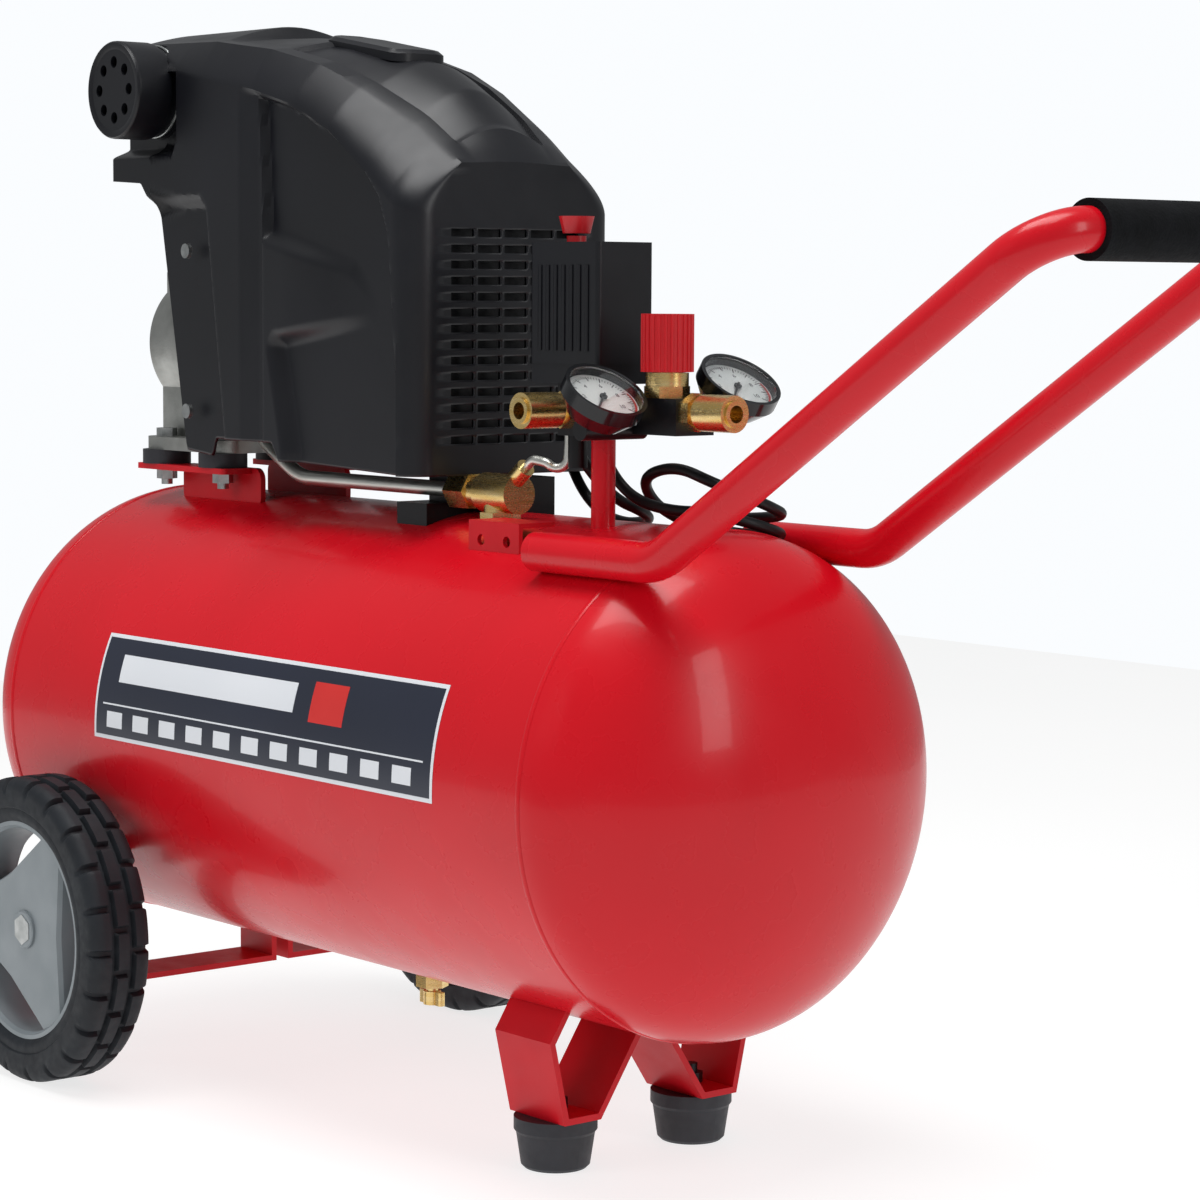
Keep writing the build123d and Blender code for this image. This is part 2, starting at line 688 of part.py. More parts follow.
with BuildPart() as check_valve:
    with BuildSketch(Plane.YZ.offset(at(CHECK_X - 45))):
        with Locations((CHECK_Y, CHECK_Z)):
            RegularPolygon(12.5, 6)
    extrude(amount=20)
    with BuildSketch(Plane.YZ.offset(at(CHECK_X - 25))):
        with Locations((CHECK_Y, CHECK_Z)):
            Circle(10)
    extrude(amount=10)
    with BuildSketch(Plane.YZ.offset(at(CHECK_X - 15))):
        with Locations((CHECK_Y, CHECK_Z)):
            Circle(12.5)
    extrude(amount=34)
    with BuildSketch(Plane(origin=(at(CHECK_X + 8), CHECK_Y, CHECK_Z + 4), z_dir=(0.8, 0, 0.6))):
        Circle(6)
    extrude(amount=22)
    with BuildSketch(Plane.XY.offset(380)):
        with Locations((at(CHECK_X), CHECK_Y)):
            Circle(10.5)
    extrude(amount=28)
    with BuildSketch(Plane.XY.offset(CHECK_Z - 22)):
        with Locations((at(CHECK_X), CHECK_Y)):
            RegularPolygon(13, 6)
    extrude(amount=10)
    cut_to_tank()
save(check_valve, "check_valve")

RELIEF_WAY = Vector(0.8, 0, 0.6)
RELIEF_START = Vector(at(CHECK_X + 8), CHECK_Y, CHECK_Z + 4) + RELIEF_WAY * 22
RELIEF_X = 171.0
RELIEF_Y = -23.0
with BuildPart() as relief_pipe:
    with BuildLine():
        FilletPolyline(
            [
                RELIEF_START, RELIEF_START + RELIEF_WAY * 9, (at(160), CHECK_Y + 2, 432),
                (at(RELIEF_X - 1), RELIEF_Y - 1, 420), (at(RELIEF_X), RELIEF_Y, 446), (at(RELIEF_X), RELIEF_Y, 474),
            ],
            radius=[7, 8, 7, 12],
        )
    with BuildSketch(Plane(origin=RELIEF_START, z_dir=RELIEF_WAY)):
        Circle(3)
    sweep()
save(relief_pipe, "relief_pipe")

with BuildPart() as standpipe:
    with Locations((at(STAND_X), STAND_Y, 380)):
        Cylinder(STAND_R, 70, align=(Align.CENTER, Align.CENTER, Align.MIN))
        Cylinder(STAND_R - 2, 70, align=(Align.CENTER, Align.CENTER, Align.MIN), mode=Mode.SUBTRACT)
    cut_to_tank()
save(standpipe, "standpipe")

# ---------------------------------------------------------------- switch, manifold and regulator

MANIFOLD_X0 = 178.0
MANIFOLD_X1 = 212.0
MANIFOLD_Z0 = 450.0
COUPLING_X = 190.0
GAUGE_NORMAL = (math.sin(GAUGE_TILT), 0, math.cos(GAUGE_TILT))
GAUGE_PLANES = {
    name: Plane(origin=(at(x), y, z), x_dir=(0, 1, 0), z_dir=GAUGE_NORMAL) for name, (x, y, z) in GAUGES.items()
}
GAUGE_BOSSES = {"left": (239.0, -70.5, -22.0, 456.0), "right": (257.5, -6.0, 31.0, 461.5)}
with BuildPart() as manifold:
    with Locations((at((MANIFOLD_X0 + MANIFOLD_X1) / 2), STAND_Y - 4, MANIFOLD_Z0)):
        Box(MANIFOLD_X1 - MANIFOLD_X0, 24, SWITCH_Z0 - 6 - MANIFOLD_Z0, align=(Align.CENTER, Align.CENTER, Align.MIN))
    with Locations((at(STAND_X), STAND_Y, MANIFOLD_Z0)):
        Cylinder(STAND_R + 2, 12, align=(Align.CENTER, Align.CENTER, Align.MIN))
    with Locations((at(183), STAND_Y - 4, 430)):
        Cylinder(6, 24, align=(Align.CENTER, Align.CENTER, Align.MIN))
    with Locations((at(228), REG_Y, MANIFOLD_Z)):
        Cylinder(8.5, 36, rotation=(0, 90, 0))
    with Locations((at(REG_X), REG_Y + 3, 464)):
        Box(44, 30, 22)
    for boss_x, y0, y1, z in GAUGE_BOSSES.values():
        with Locations((at(boss_x), (y0 + y1) / 2, z)):
            Cylinder(6.5, y1 - y0, rotation=(90, 0, 0))
    with Locations((at(202), -6, MANIFOLD_Z)):
        Cylinder(7, 24, rotation=(90, 0, 0))
    for face in GAUGE_PLANES.values():
        with BuildSketch(face.offset(-GAUGE_DEPTH)):
            Circle(STEM_R)
        extrude(amount=-STEM_LENGTH, mode=Mode.SUBTRACT)
save(manifold, "manifold")

with BuildPart() as regulator_body:
    with BuildSketch(Plane.XY.offset(475)):
        with Locations((at(REG_X), REG_Y)):
            RegularPolygon(14, 6)
    extrude(amount=7)
    with BuildSketch(Plane.XY.offset(482)):
        with Locations((at(REG_X), REG_Y)):
            Circle(13)
    extrude(amount=8)
    with BuildSketch(Plane.XY.offset(490)):
        with Locations((at(REG_X), REG_Y)):
            Circle(9)
    extrude(amount=20)
save(regulator_body, "regulator_body")

with BuildPart() as regulator_knob:
    with BuildSketch(Plane.XY.offset(490.5)):
        with Locations((at(REG_X), REG_Y)):
            Circle(15)
            with PolarLocations(15, 24):
                Circle(1)
    extrude(amount=34.5)
    with BuildSketch(Plane.XY.offset(490)):
        with Locations((at(REG_X), REG_Y)):
            Circle(9.35)
    extrude(amount=21, mode=Mode.SUBTRACT)
save(regulator_knob, "regulator_knob")

with BuildPart() as pressure_switch_base:
    with Locations((at((SWITCH_X0 + SWITCH_X1) / 2), (SWITCH_Y0 + SWITCH_Y1) / 2, SWITCH_Z0 - 6)):
        Box(64, 42, 12, align=(Align.CENTER, Align.CENTER, Align.MIN))
    with Locations((at(RELIEF_X), RELIEF_Y, 474)):
        Cylinder(5, 8, align=(Align.CENTER, Align.CENTER, Align.MIN))
save(pressure_switch_base, "pressure_switch_base")

with BuildPart() as pressure_switch_cover:
    with BuildSketch(Plane.XY.offset(SWITCH_Z0 + 6)):
        with Locations((at((SWITCH_X0 + SWITCH_X1) / 2), (SWITCH_Y0 + SWITCH_Y1) / 2)):
            RectangleRounded(SWITCH_X1 - SWITCH_X0, SWITCH_Y1 - SWITCH_Y0, 3)
    extrude(amount=SWITCH_Z1 - SWITCH_Z0 - 6)
    with BuildSketch(Plane.XY.offset(SWITCH_Z0 + 6)):
        with Locations((at((SWITCH_X0 + SWITCH_X1) / 2), (SWITCH_Y0 + SWITCH_Y1) / 2)):
            Rectangle(SWITCH_X1 - SWITCH_X0 - 5, SWITCH_Y1 - SWITCH_Y0 - 5)
    extrude(amount=SWITCH_Z1 - SWITCH_Z0 - 9, mode=Mode.SUBTRACT)
    with Locations((at(176), STAND_Y, SWITCH_Z1)):
        Cylinder(6.35, 20, mode=Mode.SUBTRACT)
save(pressure_switch_cover, "pressure_switch_cover")

with BuildPart() as switch_knob:
    with Locations((at(176), STAND_Y, SWITCH_Z1 - 14)):
        Cylinder(6, 18, align=(Align.CENTER, Align.CENTER, Align.MIN))
    with BuildSketch(Plane.XY.offset(SWITCH_Z1 + 5.5)):
        with Locations((at(176), STAND_Y)):
            Circle(8.5)
    with BuildSketch(Plane.XY.offset(SWITCH_Z1 + 16)):
        with Locations((at(176), STAND_Y)):
            Circle(11)
    loft()
save(switch_knob, "switch_knob")

# ---------------------------------------------------------------- couplings and gauges

COUPLINGS = {
    "left": Plane(origin=(at(COUPLING_X), STAND_Y - 16, MANIFOLD_Z), z_dir=(0, -1, 0)),
    "right": Plane(origin=(at(REG_X + 22), REG_Y, MANIFOLD_Z + 1), z_dir=(1, 0, 0)),
}
with BuildPart() as coupling_bodies:
    for mouth in COUPLINGS.values():
        with BuildSketch(mouth):
            RegularPolygon(11.5, 6)
        extrude(amount=COUPLING_HEX)
        with BuildSketch(mouth.offset(COUPLING_HEX)):
            Circle(8)
        extrude(amount=COUPLING_L - COUPLING_HEX)
        with BuildSketch(mouth.offset(COUPLING_L)):
            Circle(COUPLING_BORE)
        extrude(amount=-COUPLING_DEPTH, mode=Mode.SUBTRACT)
save(coupling_bodies, "coupling_bodies")

for name, mouth in COUPLINGS.items():
    with BuildPart() as coupling_sleeve:
        with BuildSketch(mouth.offset(COUPLING_HEX + 4)):
            Circle(COUPLING_R)
            Circle(8 + RUN_GAP, mode=Mode.SUBTRACT)
        extrude(amount=COUPLING_L - COUPLING_HEX - 5.5)
    save(coupling_sleeve, f"coupling_sleeve_{name}")

with BuildPart() as gauge_cases:
    for face in GAUGE_PLANES.values():
        with BuildSketch(face.offset(-GAUGE_DEPTH)):
            Circle(GAUGE_R - 8)
        with BuildSketch(face.offset(-GAUGE_RIM)):
            Circle(GAUGE_R)
        loft()
        with BuildSketch(face.offset(-GAUGE_RIM)):
            Circle(GAUGE_R)
        extrude(amount=GAUGE_RIM)
        with BuildSketch(face.offset(-8)):
            Circle(GAUGE_R - 2.4)
        extrude(amount=8, mode=Mode.SUBTRACT)
        with BuildSketch(face.offset(1 - GAUGE_DEPTH)):
            Circle(STEM_R)
        extrude(amount=-1 - STEM_LENGTH)
        with BuildSketch(face.offset(-8.5)):
            Circle(PIVOT_R)
        extrude(amount=4)
save(gauge_cases, "gauge_cases")

with BuildPart() as gauge_lenses:
    for face in GAUGE_PLANES.values():
        with BuildSketch(face.offset(-2)):
            Circle(GAUGE_R - 2.4)
        extrude(amount=1.2)
save(gauge_lenses, "gauge_lenses")

NEEDLE_REST = 225
for name, face in GAUGE_PLANES.items():
    with BuildPart() as gauge_needle:
        with BuildSketch(face.offset(-6.4)):
            Circle(2.4)
            with PolarLocations(7, 1, start_angle=NEEDLE_REST):
                Rectangle(22, 1.4)
            Circle(PIVOT_R + RUN_GAP, mode=Mode.SUBTRACT)
        extrude(amount=1.2)
    save(gauge_needle, f"gauge_needle_{name}")

SAFETY = Plane(origin=(at(202), 6, MANIFOLD_Z), z_dir=(0, 1, 0))
with BuildPart() as safety_valve:
    with BuildSketch(SAFETY):
        RegularPolygon(9, 6)
    extrude(amount=8)
    with BuildSketch(SAFETY.offset(8)):
        Circle(7)
    extrude(amount=16)
    with BuildSketch(SAFETY.offset(24)):
        Circle(2.3)
    extrude(amount=-14, mode=Mode.SUBTRACT)
save(safety_valve, "safety_valve")

with BuildPart() as safety_ring:
    with BuildSketch(SAFETY.offset(11)):
        Circle(2)
    extrude(amount=18)
    with Locations((at(202), 6 + 38, MANIFOLD_Z)):
        Torus(9.5, 1.2, rotation=(0, 90, 0))
save(safety_ring, "safety_ring")

# ---------------------------------------------------------------- cables

GLANDS = {
    "motor": Plane(origin=(at(158), -14, SWITCH_Z0 - 6), z_dir=(0, 0, -1)),
    "mains": Plane(origin=(at(176), -5, SWITCH_Z0 - 6), z_dir=(0, 0, -1)),
}
with BuildPart() as cable_glands:
    for exit_plane in GLANDS.values():
        with BuildSketch(exit_plane):
            Circle(6)
        extrude(amount=8)
save(cable_glands, "cable_glands")

MOTOR_ROUTE = [
    (158, -14, 474), (158, -14, 456), (162, -8, 437), (169, 2, 420), (175, 15, 407), (175, 32, 401), (166, 48, 395),
    (148, 58, 391), (124, 62, 389), (100, 64, 393), (77, 66, 406), (58, 69, 427), (40, 71, 448), (21, 69, 463),
    (8, 55, 470),
]
MAINS_ROUTE = [
    (176, -5, 474), (176, -5, 458), (180, -4, 440), (190, -2, 423), (207, 1, 410), (236, 3, 405), (271, 5, 406),
    (290, 37, 396), (270, 70, 388), (206, 71, 387.5), (186, 41, 399), (200, 9, 423), (236, 7, 433), (272, 8, 423),
    (289, 39, 409), (270, 70, 400.5), (210, 71.5, 396), (181, 83, 387), (156, 97, 375.5), (131, 109, 361.5),
    (98, 125.5, 343), (62, 142, 318), (24, 156, 287), (-14, 163, 248), (-44, 167, 204), (-62, 171, 156),
    (-74, 179, 108), (-88, 196, 64), (-104, 218, 30), (-124, 242, 12), (-142, 265, 6), (-149, 287, 5),
]


PLUG_ROUTE = [(-216, 349.5, 11), (-237, 346, 11.5), (-258, 338, 14.5), (-279, 331, 18), (-298, 329.5, 19)]


def cable(route, radius):
    """The tube of a cable along a route, and a line that says its length and its tightest arc."""
    points = [Vector(at(x), y, z) for x, y, z in route]
    radii = []
    for before, here, after in zip(points, points[1:], points[2:]):
        turn = math.radians((here - before).get_angle(after - here))
        radii.append(0.45 * min((here - before).length, (after - here).length) / math.tan(turn / 2))
    with BuildPart(mode=Mode.PRIVATE) as tube:
        with BuildLine() as path:
            FilletPolyline(points, radius=radii)
        with BuildSketch(Plane(origin=points[0], z_dir=points[1] - points[0])):
            Circle(radius)
        sweep()
    length = path.wires()[0].length
    section = math.pi * radius**2 * length
    print(f"cable {length:.0f} mm long, volume {tube.part.volume:.0f} against {section:.0f}")
    print("arcs", [round(value) for value in radii])
    return tube.part


with BuildPart() as motor_cable:
    add(cable(MOTOR_ROUTE, CABLE_R))
save(motor_cable, "motor_cable")

with BuildPart() as mains_cable:
    add(cable(MAINS_ROUTE, CABLE_R))
    add(cable(PLUG_ROUTE, CABLE_R))
save(mains_cable, "mains_cable")

COIL_X = -190.0
COIL_Y = 312.0
COIL_R = 40.0
COIL_H = 15.0
with BuildPart() as mains_cable_coil:
    with Locations((at(COIL_X), COIL_Y, 0)):
        Cylinder(COIL_R + 9, COIL_H, align=(Align.CENTER, Align.CENTER, Align.MIN))
        Cylinder(COIL_R - 9, 3 * COIL_H, mode=Mode.SUBTRACT)
save(mains_cable_coil, "mains_cable_coil")

PLUG_X, PLUG_Y, PLUG_Z = PLUG_ROUTE[-1]
PLUG = Plane(origin=(at(PLUG_X), PLUG_Y, PLUG_Z), z_dir=(-1, 0, 0))
with BuildPart() as mains_plug:
    with BuildSketch(PLUG):
        Circle(4.5)
    with BuildSketch(PLUG.offset(24)):
        Circle(9)
    loft()
    with BuildSketch(PLUG.offset(24)):
        Circle(19)
    extrude(amount=26)
    for pin in (-9.5, 9.5):
        with BuildSketch(PLUG.offset(50)):
            with Locations((0, pin)):
                Circle(2.4)
        extrude(amount=19)
save(mains_plug, "mains_plug")
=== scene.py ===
"""A portable workshop air compressor: the looks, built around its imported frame."""

import logging
import math
from dataclasses import dataclass
from enum import Enum

import bmesh
import bpy
from mathutils import Matrix, Vector

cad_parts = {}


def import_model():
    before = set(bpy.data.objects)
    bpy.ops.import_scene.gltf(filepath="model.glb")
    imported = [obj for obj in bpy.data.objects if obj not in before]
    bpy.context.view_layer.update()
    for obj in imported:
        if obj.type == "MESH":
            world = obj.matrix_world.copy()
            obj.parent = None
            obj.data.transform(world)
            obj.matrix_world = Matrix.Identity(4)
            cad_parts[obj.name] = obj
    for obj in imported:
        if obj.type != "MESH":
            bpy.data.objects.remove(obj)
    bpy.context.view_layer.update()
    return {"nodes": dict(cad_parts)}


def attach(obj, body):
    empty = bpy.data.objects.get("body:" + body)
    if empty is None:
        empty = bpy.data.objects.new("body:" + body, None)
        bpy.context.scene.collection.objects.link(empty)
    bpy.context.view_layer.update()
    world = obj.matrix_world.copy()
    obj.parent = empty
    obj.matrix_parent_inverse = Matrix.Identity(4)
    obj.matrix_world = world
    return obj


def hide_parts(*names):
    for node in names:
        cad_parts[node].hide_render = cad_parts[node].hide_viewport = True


log = logging.getLogger("compressor")

MM = 0.001
TANK_MM = (372.0 - 641.0) / 2


def place(along: float, across: float, height: float) -> Vector:
    """Turns millimetres from the middle of the tank into a point of the row frame.

    Args:
        along: Distance from the tank's middle towards the handle.
        across: Distance from the middle plane, away from the label side.
        height: Height above the floor.

    Returns:
        The point, in metres.
    """
    return Vector(((along + TANK_MM) * MM, across * MM, height * MM))


def linear(hex_colour: str) -> tuple[float, float, float, float]:
    """Turns an sRGB hex colour into linear red, green, blue and an alpha of 1."""
    parts = [int(hex_colour[i : i + 2], 16) / 255 for i in (1, 3, 5)]
    red, green, blue = (c / 12.92 if c <= 0.04045 else ((c + 0.055) / 1.055) ** 2.4 for c in parts)
    return red, green, blue, 1.0


def add_node(tree: bpy.types.NodeTree, kind: str, inputs: dict | None = None, **settings) -> bpy.types.Node:
    """Adds a node with its settings and links.

    Args:
        tree: The tree that the node joins.
        kind: The node's type name.
        inputs: Socket names or numbers, each with a value or with an output socket to link.
        **settings: Attributes set on the node.

    Returns:
        The new node.
    """
    node = tree.nodes.new(kind)
    for key, value in settings.items():
        setattr(node, key, value)
    for key, value in (inputs or {}).items():
        if isinstance(value, bpy.types.NodeSocket):
            tree.links.new(value, node.inputs[key])
        else:
            node.inputs[key].default_value = value
    return node


class Grain(Enum):
    """How a surface was made, which decides the pattern of its fine relief."""

    SPRAYED = "sprayed"
    MOULDED = "moulded"
    CAST = "cast"
    TURNED = "turned"
    FOAMED = "foamed"
    PLATED = "plated"


@dataclass(frozen=True)
class Finish:
    """One surface finish.

    Attributes:
        name: The material's common name and how it was made.
        slot: The record's slot that it belongs to; not used.
        light: Its lighter tone, as sRGB hex.
        dark: Its darker tone, as sRGB hex.
        rough: Lowest and highest roughness over the surface.
        grain: The pattern of its fine relief.
        grain_mm: The size of that pattern.
        relief_mm: The depth of that pattern.
        mottle_mm: The size of its slow colour changes.
        metallic: 1 on bare metal.
        ior: Index of refraction of a finish that isn't metal.
        coat: Weight of a clear gloss over the colour.
        clear: 1 on a see-through piece.
        glow: How much light the surface gives off, for a lit studio floor.
    """

    name: str
    slot: str
    light: str
    dark: str
    rough: tuple[float, float]
    grain: Grain = Grain.MOULDED
    grain_mm: float = 1.2
    relief_mm: float = 0.03
    mottle_mm: float = 70.0
    metallic: float = 0.0
    ior: float = 1.5
    coat: float = 0.0
    clear: float = 0.0
    glow: float = 0.0

    def stretch(self) -> tuple[float, float, float]:
        """How much finer the pattern runs along X, Y and Z: turned metal shows rings along its length."""
        return (1.0, 1.0, 6.0) if self.grain is Grain.TURNED else (1.0, 1.0, 1.0)

    def relief(self, tree: bpy.types.NodeTree, point: bpy.types.NodeSocket) -> bpy.types.NodeSocket:
        """Adds the nodes of the fine relief.

        Args:
            tree: The material's tree.
            point: The output that gives the place on the surface.

        Returns:
            The output with the relief's height, from 0 to 1.
        """
        scale = 1000.0 / self.grain_mm
        if self.grain in (Grain.FOAMED, Grain.CAST):
            cells = add_node(tree, "ShaderNodeTexVoronoi", {"Vector": point, "Scale": scale})
            return cells.outputs["Distance"]
        noise = add_node(tree, "ShaderNodeTexNoise", {"Vector": point, "Scale": scale, "Detail": 3.0})
        return noise.outputs["Fac"]

    def build(self) -> bpy.types.Material:
        """Makes the material, or returns the one already made.

        Returns:
            The material.
        """
        made = bpy.data.materials.get(self.name)
        if made:
            return made
        material = bpy.data.materials.new(self.name)
        material.use_nodes = True
        tree = material.node_tree
        tree.nodes.clear()
        where = add_node(tree, "ShaderNodeTexCoord")
        spread = add_node(
            tree, "ShaderNodeMapping", {"Vector": where.outputs["Object"], "Scale": self.stretch()}
        )
        point = spread.outputs["Vector"]
        slow = add_node(
            tree, "ShaderNodeTexNoise", {"Vector": point, "Scale": 1000.0 / self.mottle_mm, "Detail": 2.0}
        )
        tone = add_node(
            tree, "ShaderNodeMapRange", {"Value": slow.outputs["Fac"], "From Min": 0.35, "From Max": 0.65}
        )
        colour = add_node(
            tree, "ShaderNodeMix",
            {"Factor": tone.outputs["Result"], 6: linear(self.dark), 7: linear(self.light)},
            data_type="RGBA",
        )
        scuff = add_node(
            tree, "ShaderNodeTexNoise", {"Vector": point, "Scale": 5000.0 / self.mottle_mm, "Detail": 6.0}
        )
        rough = add_node(
            tree, "ShaderNodeMapRange",
            {"Value": scuff.outputs["Fac"], "From Min": 0.3, "From Max": 0.7, "To Min": self.rough[0],
             "To Max": self.rough[1]},
        )
        bump = add_node(
            tree, "ShaderNodeBump",
            {"Height": self.relief(tree, point), "Strength": 0.6, "Distance": self.relief_mm * MM},
        )
        shader = add_node(
            tree, "ShaderNodeBsdfPrincipled",
            {"Base Color": colour.outputs[2], "Roughness": rough.outputs["Result"], "Metallic": self.metallic,
             "Normal": bump.outputs["Normal"], "Coat Weight": self.coat, "Coat Roughness": 0.06,
             "Transmission Weight": self.clear, "Emission Color": (1.0, 1.0, 1.0, 1.0),
             "Emission Strength": self.glow},
        )
        if not self.metallic:
            shader.inputs["IOR"].default_value = self.ior
        add_node(tree, "ShaderNodeOutputMaterial", {"Surface": shader.outputs["BSDF"]})
        return material


# Stove enamel over steel: a wet gloss with a faint orange peel about 3 mm across.
RED_ENAMEL = Finish(
    "stove_enamel_red", "red_enamel", "#CE0B1D", "#C60919", (0.24, 0.32), Grain.SPRAYED, 3.0, 0.02, 160.0,
    ior=1.33, coat=0.15,
)
# Sprayed steel brackets: the same colour with less gloss.
RED_BRACKET = Finish(
    "powder_coat_red", "red_enamel", "#C80D1D", "#B80A19", (0.34, 0.44),
    Grain.SPRAYED, 2.0, 0.03, 60.0, ior=1.35
)
# Injection-moulded ABS with a spark-eroded texture: a satin black with soft highlights.
SHROUD_ABS = Finish(
    "moulded_abs_black", "black_plastic", "#0F1016", "#0B0C11", (0.34, 0.42),
    Grain.MOULDED, 0.9, 0.02, 120.0,
    ior=1.44,
)
# Polished moulded plastic of the gauge cases.
GAUGE_PLASTIC = Finish(
    "polished_plastic_black", "black_gauge", "#101114", "#0C0D10", (0.16, 0.24),
    relief_mm=0.01, coat=0.2, ior=1.4
)
# Moulded ABS in red, for the knobs.
RED_ABS = Finish("moulded_abs_red", "red_plastic", "#D1141F", "#C00F1A", (0.3, 0.38), relief_mm=0.02)
# Moulded nylon in grey with a fine silver pigment.
HUB_NYLON = Finish(
    "moulded_nylon_grey", "grey_plastic", "#878E92", "#7A8286", (0.36, 0.46),
    Grain.MOULDED, 0.8, 0.03, 50.0,
    metallic=0.15,
)
# Solid rubber tyre: dry and matt, slightly blue-grey.
TYRE_RUBBER = Finish(
    "moulded_rubber_tyre", "tyre_rubber", "#1D2126", "#171A1F", (0.55, 0.7), Grain.MOULDED, 1.6, 0.08, 30.0,
    ior=1.4,
)
FOOT_RUBBER = Finish(
    "moulded_rubber_feet", "foot_rubber", "#282A30", "#202227", (0.5, 0.62), Grain.MOULDED, 1.2, 0.06, 25.0
)
# Closed-cell foam sleeve: open pores about 1.5 mm across and no gloss.
GRIP_FOAM = Finish(
    "foam_rubber_sleeve", "foam", "#0F1013", "#08090B", (0.8, 0.92), Grain.FOAMED, 1.5, 0.35, 18.0,
    ior=1.25,
)
# Sand-cast aluminium: grainy, about 1.4 mm.
CAST_ALUMINIUM = Finish(
    "sand_cast_aluminium", "cast_aluminium", "#B4B5B1", "#9C9D99", (0.36, 0.5), Grain.CAST, 1.4, 0.12, 22.0,
    metallic=1.0,
)
# Drawn aluminium tube: smooth with a soft sheen.
DRAWN_ALUMINIUM = Finish(
    "drawn_aluminium_tube", "cast_aluminium", "#E0E0DA", "#D4D4CD", (0.34, 0.42),
    Grain.PLATED, 0.7, 0.01, 40.0,
    metallic=1.0,
)
ZINC = Finish(
    "zinc_plated_steel", "steel_zinc", "#BDBFBE", "#A3A6A5", (0.28, 0.4),
    Grain.PLATED, 0.6, 0.02, 8.0, metallic=1.0
)
# Turned brass: warm, with fine tool rings about 0.4 mm apart.
BRASS = Finish(
    "turned_brass", "brass", "#EBCF92", "#DFBD76", (0.24, 0.32),
    Grain.TURNED, 0.9, 0.012, 20.0, metallic=1.0
)
BLACK_STEEL = Finish(
    "black_oxide_steel", "dark_steel", "#3A3B3D", "#2B2C2E", (0.38, 0.5),
    Grain.PLATED, 0.8, 0.03, 20.0, metallic=0.8
)
BLACK_BLOCK = Finish(
    "black_anodised_aluminium", "black_block", "#101013", "#0C0C0F", (0.3, 0.4),
    Grain.PLATED, 0.8, 0.02, 30.0,
    ior=1.38,
)
CABLE_PVC = Finish(
    "extruded_pvc_black", "cable_black", "#0F1012", "#0B0C0E", (0.38, 0.48), Grain.MOULDED, 1.0, 0.02, 40.0,
    ior=1.38,
)
LENS = Finish(
    "clear_polycarbonate", "clear_plastic", "#FFFFFF", "#F6FAFC", (0.02, 0.05),
    relief_mm=0.0, clear=1.0, ior=1.45
)
DIAL_CARD = Finish("printed_card_white", "clear_plastic", "#F2F2EE", "#EAEAE6", (0.5, 0.6), relief_mm=0.0)
DIAL_INK = Finish("printed_ink_black", "black_gauge", "#222326", "#1C1D20", (0.5, 0.6), relief_mm=0.0)
DIAL_RED = Finish("printed_ink_red", "white_needle", "#CC2A26", "#C02220", (0.45, 0.55), relief_mm=0.0)
LABEL_NAVY = Finish(
    "printed_vinyl_navy", "black_plastic", "#222738", "#1D2231", (0.3, 0.36),
    relief_mm=0.01, mottle_mm=200.0
)
LABEL_LIGHT = Finish(
    "printed_vinyl_light", "white_needle", "#E4E6EA", "#DADDE2", (0.3, 0.36),
    relief_mm=0.01, mottle_mm=200.0
)
PLAIN_FLOOR = Finish(
    "painted_floor_pale", "white_needle", "#959594", "#919190", (0.6, 0.7), relief_mm=0.0, mottle_mm=900.0,
    glow=0.76,
)

NODE_FINISH = {
    RED_ENAMEL: ("tank_barrel", "tank_head_front", "tank_head_rear", "handle_tube", "standpipe"),
    RED_BRACKET: ("foot_bracket", "axle_brackets", "tab_plate", "pump_brackets"),
    BRASS: (
        "drain_valve", "drain_screw", "check_valve", "regulator_body", "coupling_bodies",
        "coupling_sleeve_left", "coupling_sleeve_right", "safety_valve",
    ),
    ZINC: ("axle_bolts", "pump_bolts", "head_bolts", "shroud_screws", "safety_ring"),
    FOOT_RUBBER: ("rubber_feet", "pump_dampers"),
    BLACK_STEEL: ("foot_bolts", "motor_stator", "rotor_shaft"),
    CAST_ALUMINIUM: ("crankcase", "cylinder", "cylinder_head", "piston", "connecting_rod"),
    DRAWN_ALUMINIUM: ("delivery_pipe", "relief_pipe"),
    SHROUD_ABS: (
        "shroud", "filter_housing", "filter_cap", "oil_plug", "cooling_fan", "cable_glands",
        "pressure_switch_base", "pressure_switch_cover",
    ),
    BLACK_BLOCK: ("motor_saddle", "manifold"),
    GAUGE_PLASTIC: ("gauge_cases",),
    LENS: ("gauge_lenses", "oil_sight_glass"),
    RED_ABS: ("regulator_knob", "switch_knob"),
    DIAL_INK: ("gauge_needle_left", "gauge_needle_right"),
    TYRE_RUBBER: ("tyre_left", "tyre_right"),
    HUB_NYLON: ("wheel_rim_left", "wheel_rim_right"),
    GRIP_FOAM: ("handle_grip",),
    CABLE_PVC: ("motor_cable", "mains_cable", "mains_cable_coil", "mains_plug"),
}


def dress(piece: bpy.types.Object, finish: Finish) -> bpy.types.Object:
    """Gives a piece one finish.

    Args:
        piece: The piece.
        finish: Its finish.

    Returns:
        The same piece.
    """
    piece.data.materials.clear()
    piece.data.materials.append(finish.build())
    return piece


